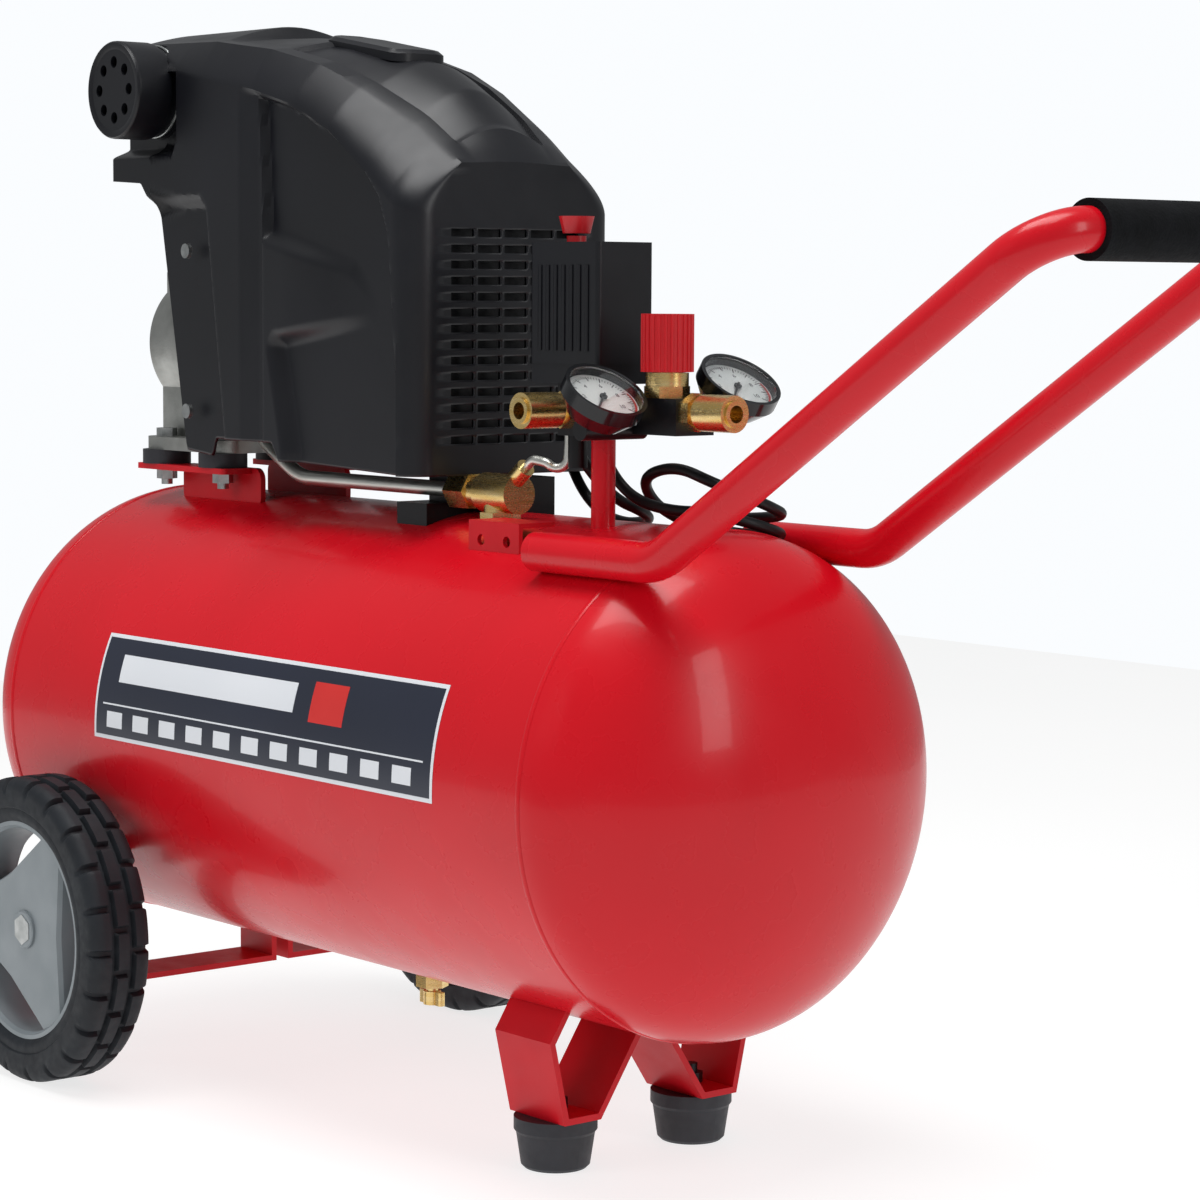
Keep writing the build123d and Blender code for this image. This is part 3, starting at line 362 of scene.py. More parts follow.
def new_piece(
    name: str, points: list, faces: list, finish: Finish, body: str = "root", crease: float = 32.0
) -> bpy.types.Object:
    """Makes a mesh piece that rides on a body.

    Args:
        name: The piece's name.
        points: Its corners, in metres.
        faces: Lists of corner numbers.
        finish: Its finish.
        body: The body that it moves with.
        crease: Edges that turn by more than this many degrees stay sharp.

    Returns:
        The piece.
    """
    mesh = bpy.data.meshes.new(name)
    mesh.from_pydata([tuple(p) for p in points], [], faces)
    shape = bmesh.new()
    shape.from_mesh(mesh)
    bmesh.ops.remove_doubles(shape, verts=shape.verts, dist=1e-6)
    bmesh.ops.recalc_face_normals(shape, faces=shape.faces)
    shape.to_mesh(mesh)
    shape.free()
    mesh.shade_smooth()
    mesh.set_sharp_from_angle(angle=math.radians(crease))
    piece = bpy.data.objects.new(name, mesh)
    bpy.context.scene.collection.objects.link(piece)
    dress(piece, finish)
    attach(piece, body)
    log.info("made %s: %d faces on %s", name, len(mesh.polygons), body)
    return piece


def smooth_step(value: float, low: float, high: float) -> float:
    """Rises smoothly from 0 at low to 1 at high."""
    t = min(1.0, max(0.0, (value - low) / (high - low)))
    return t * t * (3 - 2 * t)


def interpolate(table: list[tuple[float, float]], value: float) -> float:
    """Reads a value off a table of (place, value) pairs with straight lines between them."""
    for (a, low), (b, high) in zip(table, table[1:]):
        if value <= b:
            t = max(0.0, (value - a) / (b - a))
            return low + (high - low) * t
    return table[-1][1]


def inside(x: float, z: float, outline: list[tuple[float, float]], width: float) -> float:
    """How far a point is inside a closed outline, with a soft edge.

    Args:
        x: The point's first coordinate.
        z: The point's second coordinate.
        outline: The outline's corners.
        width: The width of the soft edge, which lies inside the outline.

    Returns:
        0 outside, 1 deeper inside than the edge's width.
    """
    within, nearest = False, 1e9
    for (ax, az), (bx, bz) in zip(outline, outline[1:] + outline[:1]):
        if (az > z) != (bz > z) and x < (bx - ax) * (z - az) / (bz - az) + ax:
            within = not within
        length = (bx - ax) ** 2 + (bz - az) ** 2
        t = min(1.0, max(0.0, ((x - ax) * (bx - ax) + (z - az) * (bz - az)) / length))
        nearest = min(nearest, math.hypot(x - ax - t * (bx - ax), z - az - t * (bz - az)))
    return smooth_step(nearest, 0.0, width) if within else 0.0


def tube(
    name: str, route: list[Vector], radius: float, finish: Finish, body: str = "root"
) -> bpy.types.Object:
    """Makes a round cord along one smooth NURBS line.

    Args:
        name: The piece's name.
        route: The line's control points, in metres.
        radius: The cord's radius, in metres.
        finish: Its finish.
        body: The body that it moves with.

    Returns:
        The curve piece.
    """
    curve = bpy.data.curves.new(name, "CURVE")
    curve.dimensions = "3D"
    line = curve.splines.new("NURBS")
    line.points.add(len(route) - 1)
    for knot, point in zip(line.points, route):
        knot.co = (*point, 1.0)
    line.order_u = 3
    line.use_endpoint_u = True
    line.resolution_u = 10
    curve.bevel_depth = radius
    curve.bevel_resolution = 5
    curve.use_fill_caps = True
    piece = bpy.data.objects.new(name, curve)
    bpy.context.scene.collection.objects.link(piece)
    dress(piece, finish)
    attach(piece, body)
    log.info("made cord %s with %d points", name, len(route))
    return piece


def ring_loft(
    name: str, rings: list[list[Vector]], finish: Finish, body: str = "root", crease: float = 32.0,
    caps: bool = True,
) -> bpy.types.Object:
    """Joins closed rings of the same number of points into one skin.

    Args:
        name: The piece's name.
        rings: The rings, each a list of points in metres.
        finish: Its finish.
        body: The body that it moves with.
        crease: Edges that turn by more than this many degrees stay sharp.
        caps: Whether the first and last ring are closed with a face.

    Returns:
        The piece.
    """
    count = len(rings[0])
    faces = [
        [i * count + j, i * count + (j + 1) % count, (i + 1) * count + (j + 1) % count, (i + 1) * count + j]
        for i in range(len(rings) - 1)
        for j in range(count)
    ]
    if caps:
        faces += [list(range(count)), [(len(rings) - 1) * count + j for j in range(count)]]
    return new_piece(name, [p for ring in rings for p in ring], faces, finish, body, crease)


def circle(centre: Vector, axis: Vector, radius: float, count: int = 48) -> list[Vector]:
    """Points of a circle about an axis, in metres."""
    side = axis.orthogonal().normalized()
    other = axis.normalized().cross(side)
    turns = [2 * math.pi * k / count for k in range(count)]
    return [centre + radius * (math.cos(t) * side + math.sin(t) * other) for t in turns]


def turned(
    name: str, centre: Vector, axis: Vector, profile: list[tuple[float, float]], finish: Finish,
    body: str = "root", count: int = 48, caps: bool = True, crease: float = 32.0,
) -> bpy.types.Object:
    """Makes a turned piece from a profile of (distance along the axis, radius) in millimetres."""
    way = axis.normalized()
    rings = [circle(centre + way * along * MM, axis, max(r, 0.01) * MM, count) for along, r in profile]
    return ring_loft(name, rings, finish, body, crease, caps)


@dataclass
class Studio:
    """The camera, the pale floor and the soft lights round the object.

    Attributes:
        eye: The camera's place.
        azimuth: The camera's turn round the object, in degrees.
        elevation: Its height above the horizon, in degrees.
        roll: Its roll, in radians.
        lens: Its focal length on a 36 mm sensor, in millimetres.
        room: How bright the room is as a light.
        backdrop: How bright the backdrop looks.
    """

    eye: tuple[float, float, float] = (1.6345, -1.3279, 0.5371)
    azimuth: float = 50.22
    elevation: float = 5.264
    roll: float = 0.0059
    lens: float = 99.95
    room: float = 0.33
    backdrop: float = 1.0

    def camera(self) -> None:
        """Makes the scene's camera."""
        turn, lift = math.radians(self.azimuth), math.radians(self.elevation)
        back = Vector((math.sin(turn) * math.cos(lift), -math.cos(turn) * math.cos(lift), math.sin(lift)))
        right = Vector((math.cos(turn), math.sin(turn), 0))
        up = back.cross(right)
        c, s = math.cos(self.roll), math.sin(self.roll)
        right, up = c * right + s * up, c * up - s * right
        data = bpy.data.cameras.new("camera")
        data.lens, data.sensor_width = self.lens, 36.0
        data.clip_start, data.clip_end = 0.05, 60.0
        camera = bpy.data.objects.new("camera", data)
        camera.matrix_world = Matrix(
            [[right[i], up[i], back[i], self.eye[i]] for i in range(3)] + [[0, 0, 0, 1]]
        )
        bpy.context.scene.collection.objects.link(camera)
        bpy.context.scene.camera = camera

    def lamp(
        self, name: str, at: tuple, aim: tuple, size: tuple[float, float], watts: float, mirrored: bool = True
    ) -> None:
        """Adds one rectangular soft box.

        Args:
            name: Its name.
            at: Its place, in metres.
            aim: The point that it faces.
            size: Its width and height, in metres.
            watts: Its power.
            mirrored: Whether glossy surfaces show it.
        """
        data = bpy.data.lights.new(name, "AREA")
        data.shape, data.size, data.size_y, data.energy = "RECTANGLE", size[0], size[1], watts
        lamp = bpy.data.objects.new(name, data)
        lamp.location = at
        lamp.rotation_euler = (Vector(aim) - Vector(at)).to_track_quat("-Z", "Y").to_euler()
        lamp.visible_glossy = mirrored
        bpy.context.scene.collection.objects.link(lamp)

    def floor(self) -> None:
        """Makes the flat studio floor."""
        half = 2.4
        points = [(-half, -half, 0.0), (half, -half, 0.0), (half, half, 0.0), (-half, half, 0.0)]
        mesh = bpy.data.meshes.new("floor")
        mesh.from_pydata(points, [], [(0, 1, 2, 3)])
        mesh.materials.append(PLAIN_FLOOR.build())
        floor = bpy.data.objects.new("floor", mesh)
        bpy.context.scene.collection.objects.link(floor)

    def build(self) -> None:
        """Makes everything round the object."""
        self.camera()
        self.floor()
        world = bpy.data.worlds.new("studio")
        world.use_nodes = True
        tree = world.node_tree
        tree.nodes.clear()
        ray = add_node(tree, "ShaderNodeLightPath")
        room = add_node(
            tree, "ShaderNodeMapRange",
            {"Value": ray.outputs["Is Camera Ray"], "To Min": self.room, "To Max": self.backdrop},
        )
        sky = add_node(
            tree, "ShaderNodeBackground", {"Color": (0.96, 0.98, 1.0, 1.0), "Strength": room.outputs[0]}
        )
        add_node(tree, "ShaderNodeOutputWorld", {"Surface": sky.outputs["Background"]})
        bpy.context.scene.world = world
        middle = (0.0, 0.0, 0.35)
        self.lamp("overhead", (0.1, -0.3, 2.4), middle, (1.7, 1.1), 40.0)
        self.lamp("label_side", (-0.6, -2.4, 1.5), middle, (1.4, 1.2), 17.0, mirrored=False)
        self.lamp("handle_side", (2.6, 0.4, 1.3), middle, (0.5, 1.5), 14.0)
        bpy.context.scene.view_settings.view_transform = "Standard"


@dataclass
class Leads:
    """The mains lead with its coil, and the motor lead, each as one smooth line.

    Attributes:
        radius: The leads' radius in millimetres.
        coil: The coil's middle.
        rings: Radius and height of each turn, from the first to the last.
        first_turn: Where the coil starts, in degrees round its middle.
        last_turn: Where it ends, counted on from the first turn.
    """

    radius: float = 3.5
    coil: tuple[float, float] = (-190.0, 312.0)
    rings: tuple = ((45.3, 3.6), (38.0, 3.7), (38.0, 10.9), (45.3, 11.0), (45.3, 11.0))
    first_turn: float = -18.0
    last_turn: float = 4 * 360.0 + 84.0

    MAINS = (
        (176, -5, 474), (176, -5, 458), (180, -4, 440), (190, -2, 423), (207, 1, 410), (236, 3, 405),
        (271, 5, 406), (290, 37, 396), (270, 70, 388), (206, 71, 387.5), (186, 41, 399), (200, 9, 423),
        (236, 7, 433), (272, 8, 423), (289, 39, 409), (270, 70, 400.5), (210, 71.5, 396),
        (181, 83, 387), (156, 97, 375.5), (131, 109, 361.5), (98, 125.5, 343), (62, 142, 318),
        (24, 156, 287), (-14, 163, 248), (-44, 167, 204), (-62, 171, 156), (-74, 179, 108),
        (-88, 196, 64), (-104, 218, 30), (-124, 242, 12), (-142, 265, 6), (-149, 287, 5),
    )
    PLUG_END = ((-216, 349.5, 11), (-237, 346, 11.5), (-258, 338, 14.5), (-279, 331, 18), (-298, 329.5, 19))
    MOTOR = (
        (158, -14, 474), (158, -14, 456), (162, -8, 437), (169, 2, 420), (175, 15, 407), (175, 32, 401),
        (166, 48, 395), (148, 58, 391), (124, 62, 389), (100, 64, 393), (77, 66, 406), (58, 69, 427),
        (40, 71, 448), (21, 69, 463), (8, 55, 470),
    )

    def turns(self) -> list[tuple[float, float, float]]:
        """The coil's turns: two layers of two rings, a diameter apart."""
        points = []
        step = 24.0
        angle = self.first_turn
        while angle <= self.last_turn:
            turn = (angle - self.first_turn) / 360.0
            ring = min(int(turn), len(self.rings) - 2)
            share = smooth_step(turn - ring, 0.78, 1.0)
            (r0, z0), (r1, z1) = self.rings[ring], self.rings[ring + 1]
            radius = (r0 + (r1 - r0) * share) / 0.99
            height = z0 + (z1 - z0) * share
            t = math.radians(angle)
            points.append((self.coil[0] + radius * math.cos(t), self.coil[1] + radius * math.sin(t), height))
            angle += step
        return points

    def relief(self, name: str, top: tuple[float, float, float], length: float) -> bpy.types.Object:
        """Makes a tapered strain relief with ribs, straight down from a gland.

        Args:
            name: The piece's name.
            top: The middle of its upper end, in millimetres.
            length: Its length in millimetres.

        Returns:
            The piece.
        """
        profile = [(0.0, self.radius + 0.1), (0.0, 7.0)]
        ribs = 6
        for k in range(ribs):
            start, thick = length * k / ribs, 7.0 - 2.4 * k / ribs
            profile += [(start + 0.5, thick), (start + length / ribs - 1.6, thick - 0.2),
                        (start + length / ribs - 1.2, thick - 1.1), (start + length / ribs, thick - 1.1)]
        profile += [(length, self.radius + 0.1)]
        return turned(name, place(*top), Vector((0, 0, -1)), profile, CABLE_PVC, caps=False, count=32)

    def build(self) -> None:
        """Makes both leads, their reliefs and the tie on the coil."""
        route = [place(*p) for p in (*self.MAINS, *self.turns(), *self.PLUG_END)]
        mains = tube("mains_lead", route, self.radius * MM, CABLE_PVC)
        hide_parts("mains_cable", "mains_cable_coil")
        mains_relief = self.relief("mains_strain_relief", (176, -5, 474), 24.0)
        motor_relief = self.relief("motor_strain_relief", (158, -14, 474), 22.0)
        motor = tube("motor_lead", [place(*p) for p in self.MOTOR], self.radius * MM, CABLE_PVC)
        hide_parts("motor_cable")
        tie = self.tie()

    def tie(self) -> bpy.types.Object:
        """Makes the flat tie that holds the coil's turns together."""
        angle = math.radians(20.0)
        out = Vector((math.cos(angle), math.sin(angle), 0))
        along = Vector((-math.sin(angle), math.cos(angle), 0))
        middle = place(self.coil[0], self.coil[1], 0) + out * 41.7 * MM
        loop = [
            (-8.2, 0.3), (8.2, 0.3), (8.6, 2.0), (8.6, 13.5), (7.4, 15.2), (-7.4, 15.2), (-8.6, 13.5),
            (-8.6, 2.0),
        ]
        rings = []
        for width in (-2.4, 2.4):
            edge = middle + along * width * MM
            rings.append([edge + out * a * MM + Vector((0, 0, b * MM)) for a, b in loop])
        return ring_loft("coil_tie", rings, GAUGE_PLASTIC, crease=20.0)


@dataclass
class Shroud:
    """The pump's moulded cover: one sculpted skin with recesses, creases and an air grille.

    Attributes:
        half: Half the width over the flat sides.
        corner: Radius of the upright front corners.
        nose: Place of the flat front face.
        wall: Thickness of the moulding.
        slot: Width of one slot of the grille.
        pitch: Distance between two columns of slots.
        rows: Rows of slots.
        columns: Columns of slots.
        side_rows: Bands of the skin from the lower edge to the start of the roll.
        roll_rows: Bands over the roll.
        slot_rows: The lowest slot's first band, the bands in a slot, and the bands from slot to slot.
        depths: How deep the screw strip, the rib, the panels and the filter's bay are.
    """

    half: float = 84.0
    corner: float = 19.0
    nose: float = 88.0
    wall: float = 2.6
    slot: float = 18.5
    pitch: float = 21.3
    rows: int = 14
    columns: int = 5
    side_rows: int = 131
    roll_rows: int = 14
    slot_rows: tuple[int, int, int] = (16, 4, 8)
    depths: tuple[float, float, float, float] = (8.0, 3.0, 9.0, 14.0)

    # Lower edge, start of the roll, crease, rim and middle of the top, along the length.
    LOWER = (
        (-262, 613), (-226, 611), (-214, 597), (-181, 428), (-150, 425), (-146, 437), (-66, 437), (-58, 425),
        (60, 421), (88, 421),
    )
    ROLL = ((-262, 688), (-180, 686), (-88, 670), (-40, 658), (0, 640), (40, 613), (66, 594), (88, 585.9))
    CREASE_Y = ((-262, 70), (-130, 70), (-88, 68), (0, 58), (60, 48), (88, 44))
    CREASE_Z = ((-262, 708), (-150, 705), (-88, 697), (-40, 685), (0, 669), (48, 645), (74, 628), (88, 618.5))
    RIM_Y = ((-262, 56), (-88, 55), (0, 46), (60, 37), (88, 34))
    MIDDLE_Z = (
        (-262, 719), (-158, 719), (-150, 710), (-120, 709), (-60, 703), (0, 690), (40, 671), (70, 645),
        (88, 620),
    )

    STRIP = [(-240, 603), (-152, 603), (-143, 594), (-118, 415), (-230, 415)]
    RIB = [(-106, 674), (-84, 670), (-76, 667), (-76, 583), (-76, 400), (-106, 400)]
    PANEL = [
        (-86, 668), (-50, 660), (-6, 643), (34, 619), (54, 598), (64, 573), (67, 545), (70, 505), (73, 440),
        (70, 400), (-86, 400), (-80, 578),
    ]
    TONGUE = [
        (-100, 586), (-78, 580), (18, 558), (50, 530), (40, 514), (-60, 500), (-44, 432), (-44, 400),
        (-100, 400),
    ]
    FILTER_BAY = [(-290, 628), (-186, 628), (-180, 640), (-180, 740), (-290, 740)]
    LOWER_PANEL = [(-60, 500), (-28, 508), (12, 512), (66, 514), (72, 434), (-45, 438)]

    def recess(self, x: float, z: float) -> float:
        """How deep the side is pressed in at a place, in millimetres."""
        strip_depth, rib_depth, panel_depth, bay_depth = self.depths
        strip = strip_depth * inside(x, z, self.STRIP, 11.0)
        rib = rib_depth * min(1.0, max(0.0, (x + 104.0) / 20.0)) * inside(x, z, self.RIB, 5.0)
        fade = 1.0 - smooth_step(x, -55.0, 45.0)
        panel = panel_depth * inside(x, z, self.PANEL, 5.0) * (1.0 - fade * inside(x, z, self.TONGUE, 12.0))
        low = panel_depth * inside(x, z, self.LOWER_PANEL, 6.0)
        filter_bay = bay_depth * inside(x, z, self.FILTER_BAY, 8.0)
        return max(strip, filter_bay, rib, panel, low)

    def section(self, x: float, half: float) -> list[tuple[float, float, float]]:
        """One half of the cover's section, from the lower edge to the middle of the top.

        Args:
            x: The section's place along the length.
            half: Half the width there.

        Returns:
            Points as (x, distance from the middle, height).
        """
        low, roll = interpolate(self.LOWER, x), interpolate(self.ROLL, x)
        crease_y, crease_z = interpolate(self.CREASE_Y, x), interpolate(self.CREASE_Z, x)
        rim_y, middle_z = interpolate(self.RIM_Y, x), interpolate(self.MIDDLE_Z, x)
        points = []
        top_rows = 10
        flat = smooth_step(half, self.half - self.corner, self.half)
        for k in range(self.side_rows):
            z = low + (roll - low) * k / self.side_rows
            points.append((x, half - self.recess(x, z) * flat, z))
        soft = 1.35 + 0.3 * smooth_step(x, -90.0, 88.0)
        for k in range(self.roll_rows + 1):
            t = k / self.roll_rows
            points.append((x, half + (crease_y - half) * t**soft, roll + (crease_z - roll) * t))
        share = (crease_y - rim_y) / crease_y
        rim_z = crease_z + (middle_z - crease_z) * share * 0.8
        points.append((x, rim_y, rim_z))
        sink = 3.2 * smooth_step(x, -84.0, -80.0) * (1 - smooth_step(x, 68.0, 71.0))
        points.append((x, rim_y - 1.2, rim_z - sink))
        for k in range(1, top_rows + 1):
            t = k / top_rows
            y = (rim_y - 1.2) * (1 - t)
            rise = math.sin(t * math.pi / 2)
            points.append((x, y, rim_z - sink + (middle_z - rim_z) * rise))
        return points

    def stations(self) -> list[tuple[float, float]]:
        """Places along the length, each with half the width there: evenly spaced, then round the corner."""
        start, bend = -262.0, self.nose - self.corner
        count = 190
        flat = [(start + (bend - start) * k / count, self.half) for k in range(count)]
        turn = [math.radians(90 * k / 9) for k in range(10)]
        return flat + [
            (bend + self.corner * math.sin(t), self.half - self.corner * (1 - math.cos(t))) for t in turn
        ]

    def front(self) -> tuple[list[Vector], list[list[int]]]:
        """The flat front face with its grille of slots.

        Returns:
            Its points and its faces.
        """
        ring = self.section(self.nose, self.half - self.corner)
        top = self.side_rows + self.roll_rows
        across = {0.0}
        for column in range(self.columns):
            middle = (column - (self.columns - 1) / 2) * self.pitch
            across |= {middle - self.slot / 2, middle + self.slot / 2}
        across = sorted(across)
        first, tall, pitch = self.slot_rows
        points, faces = [], []
        for _, reach, z in ring[: top + 1]:
            row = [-reach, *[max(-reach, min(reach, y)) for y in across], reach]
            points += [place(self.nose, y, z) for y in row]
        width = len(across) + 2
        for i in range(top):
            in_row = 0 <= i - first < pitch * self.rows and (i - first) % pitch < tall
            for j in range(width - 1):
                column = j - 1
                if in_row and 0 <= column < len(across) - 1:
                    mid_y = (across[column] + across[column + 1]) / 2
                    offset = mid_y / self.pitch + (self.columns - 1) / 2
                    aside = abs(offset - round(offset)) * self.pitch
                    if -0.5 < offset < self.columns - 0.5 and aside < self.slot / 2:
                        continue
                a, b = i * width + j, i * width + j + 1
                corners = [a, b, b + width, a + width]
                widths = ((points[a] - points[b]).length, (points[a + width] - points[b + width]).length)
                if max(widths) > 1e-7:
                    faces.append(corners)
        last = list(range(top * width, (top + 1) * width))
        crown = [(-y, z) for _, y, z in ring[top + 1 :]]
        crown += [(y, z) for _, y, z in reversed(ring[top + 1 : -1])]
        faces.append([*last, *range(len(points) + len(crown) - 1, len(points) - 1, -1)])
        points += [place(self.nose, y, z) for y, z in crown]
        return points, faces

    def build(self) -> None:
        """Makes the cover, its rear rim and the small pieces on it."""
        points, faces = [], []
        columns = self.stations()
        halves = [self.section(x, half) for x, half in columns]
        count = len(halves[0])
        for side in (-1, 1):
            start = len(points)
            points += [place(x, side * y, z) for half in halves for x, y, z in half]
            for i in range(len(columns) - 1):
                for j in range(count - 1):
                    a = start + i * count + j
                    faces.append([a, a + count, a + count + 1, a + 1])
        rear = [place(x, -y, z) for x, y, z in halves[0]]
        rear += [place(x, y, z) for x, y, z in reversed(halves[0][:-1])]
        faces.append(list(range(len(points), len(points) + len(rear))))
        points += rear
        start = len(points)
        face_points, front_faces = self.front()
        points += face_points
        faces += [[start + k for k in face] for face in front_faces]
        cover = new_piece("cover_shell", points, faces, SHROUD_ABS, crease=24.0)
        wall = cover.modifiers.new("wall", "SOLIDIFY")
        wall.thickness = self.wall * MM
        wall.offset = -1.0
        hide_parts("shroud")
        self.ridge()
        # The dark plate behind the grille is painted shade, to keep the slots dark.
        self.baffle()
        self.filter_body()

    def ridge(self) -> None:
        """Makes the raised pad along the top."""
        x0, x1, wide, lift = -96, -10, 22, 3.4
        rings = []
        for inset, up in ((0.0, -4.0), (0.0, lift - 2.0), (2.5, lift)):
            ring = []
            for x, y in self.rounded(x0 + inset, x1 - inset, wide - inset, 12.0):
                base = interpolate(self.MIDDLE_Z, x) - 0.004 * y * y
                ring.append(place(x, y, base + up))
            rings.append(ring)
        ring_loft("middle_ridge", rings, SHROUD_ABS)

    def baffle(self) -> None:
        """Makes a dark plate behind the grille: painted shade that keeps the slots dark."""
        rings = []
        for x in (self.nose - 13.0, self.nose - 11.0):
            rings.append([place(x, y, z) for y, z in ((-57, 432), (57, 432), (57, 584), (-57, 584))])
        ring_loft("grille_painted_shade_plate", rings, SHROUD_ABS)

    def filter_body(self) -> None:
        """Makes the filter's drum, its rings and the face plate's rim."""
        start, way = place(-221, -66, 674), Vector((0, -1, 0))
        drum = [
            (0, 31.0), (3, 31.0), (3, 32.6), (6, 32.6), (6, 30.6), (16, 30.6), (16, 33.0), (18, 33.4),
            (40, 33.4),
        ]
        turned("filter_drum", start, way, drum, SHROUD_ABS, count=96, caps=False)
        rim = [(41.0, 27.0), (42.0, 27.6), (43.0, 30.0), (43.0, 32.2), (41.6, 33.2), (38.0, 33.4)]
        turned("filter_rim", start, way, rim, SHROUD_ABS, count=96, caps=False)
        turns = [math.pi * k / 4 for k in range(9)]
        wire = [(9.0 + 0.9 * math.cos(t), 31.3 + 0.9 * math.sin(t)) for t in turns]
        turned("filter_wire_clip", start, way, wire, ZINC, count=96, caps=False)

    def rounded(self, x0: float, x1: float, half: float, radius: float) -> list[tuple[float, float]]:
        """A rounded rectangle's outline about the middle line."""
        outline = []
        for cx, cy, first in (
            (x1 - radius, half - radius, 0), (x0 + radius, half - radius, 90),
            (x0 + radius, radius - half, 180), (x1 - radius, radius - half, 270),
        ):
            for k in range(7):
                t = math.radians(first + 15 * k)
                outline.append((cx + radius * math.cos(t), cy + radius * math.sin(t)))
        return outline


@dataclass
class Tank:
    """What the welded tank carries on its skin: weld beads and a plain label.

    Attributes:
        radius: The tank's radius.
        height: The height of its axis.
        barrel: Half the length of its straight part.
        label_x: The label's two ends along the tank.
        label_angle: Its lower and upper edge, in degrees above the horizontal.
    """

    radius: float = 155.0
    height: float = 241.0
    barrel: float = 287.0
    label_x: tuple[float, float] = (-175.0, 206.0)
    label_angle: tuple[float, float] = (-2.0, 24.5)

    def skin(self, x: float, degrees: float, lift: float) -> Vector:
        """A point on the label side of the tank, some degrees above the horizontal."""
        t = math.radians(degrees)
        reach = self.radius + lift
        return place(x, -reach * math.cos(t), self.height + reach * math.sin(t))

    def patch(
        self, name: str, xs: tuple[float, float], angles: tuple[float, float], lift: float, finish: Finish
    ) -> None:
        """Makes a thin curved sheet on the tank.

        Args:
            name: The piece's name.
            xs: Its two ends along the tank.
            angles: Its lower and upper edge, in degrees above the horizontal.
            lift: How far its face stands off the tank.
            finish: Its finish.
        """
        count = 24
        rings = []
        for level in (0.05, lift):
            low = [(xs[0] + (xs[1] - xs[0]) * k / count, angles[0]) for k in range(count)]
            rise = [(xs[1], angles[0] + (angles[1] - angles[0]) * k / count) for k in range(count)]
            top = [(xs[1] - (xs[1] - xs[0]) * k / count, angles[1]) for k in range(count)]
            fall = [(xs[0], angles[1] - (angles[1] - angles[0]) * k / count) for k in range(count)]
            rings.append([self.skin(x, a, level) for x, a in low + rise + top + fall])
        points = [p for ring in rings for p in ring]
        size = len(rings[0])
        faces = [[j, (j + 1) % size, size + (j + 1) % size, size + j] for j in range(size)]
        grid = len(points)
        for i in range(count + 1):
            for j in range(2):
                points.append(self.skin(xs[j], angles[0] + (angles[1] - angles[0]) * i / count, lift))
        faces += [[grid + 2 * i, grid + 2 * i + 1, grid + 2 * i + 3, grid + 2 * i + 2] for i in range(count)]
        new_piece(name, points, faces, finish, crease=40.0)

    def build(self) -> None:
        """Makes the weld beads and the label."""
        (x0, x1), (a0, a1) = self.label_x, self.label_angle
        self.patch("label_border", (x0, x1), (a0, a1), 0.25, LABEL_LIGHT)
        self.patch("label_field", (x0 + 2.5, x1 - 2.5), (a0 + 1.0, a1 - 1.0), 0.4, LABEL_NAVY)
        self.patch("label_band", (x0 + 26, x1 - 150), (a0 + 14.5, a1 - 5.0), 0.5, LABEL_LIGHT)
        self.patch("label_mark", (x1 - 132, x1 - 96), (a0 + 13.0, a1 - 4.0), 0.5, DIAL_RED)
        self.patch("label_line", (x0 + 10, x1 - 10), (a0 + 8.6, a0 + 9.0), 0.5, LABEL_LIGHT)
        for k in range(11):
            start = x0 + 16 + 32.5 * k
            self.patch(f"label_square_{k:02d}", (start, start + 19), (a0 + 3.0, a0 + 7.0), 0.5, LABEL_LIGHT)
        for name, side in (("front", 1), ("rear", -1)):
            bead = []
            for k in range(9):
                t = math.pi * k / 8
                bead.append((-2.4 * math.cos(t), self.radius - 0.4 + 1.2 * math.sin(t)))
            turned(
                f"weld_bead_{name}", place(side * self.barrel, 0, self.height), Vector((1, 0, 0)), bead,
                RED_ENAMEL, count=160, caps=False, crease=60.0,
            )


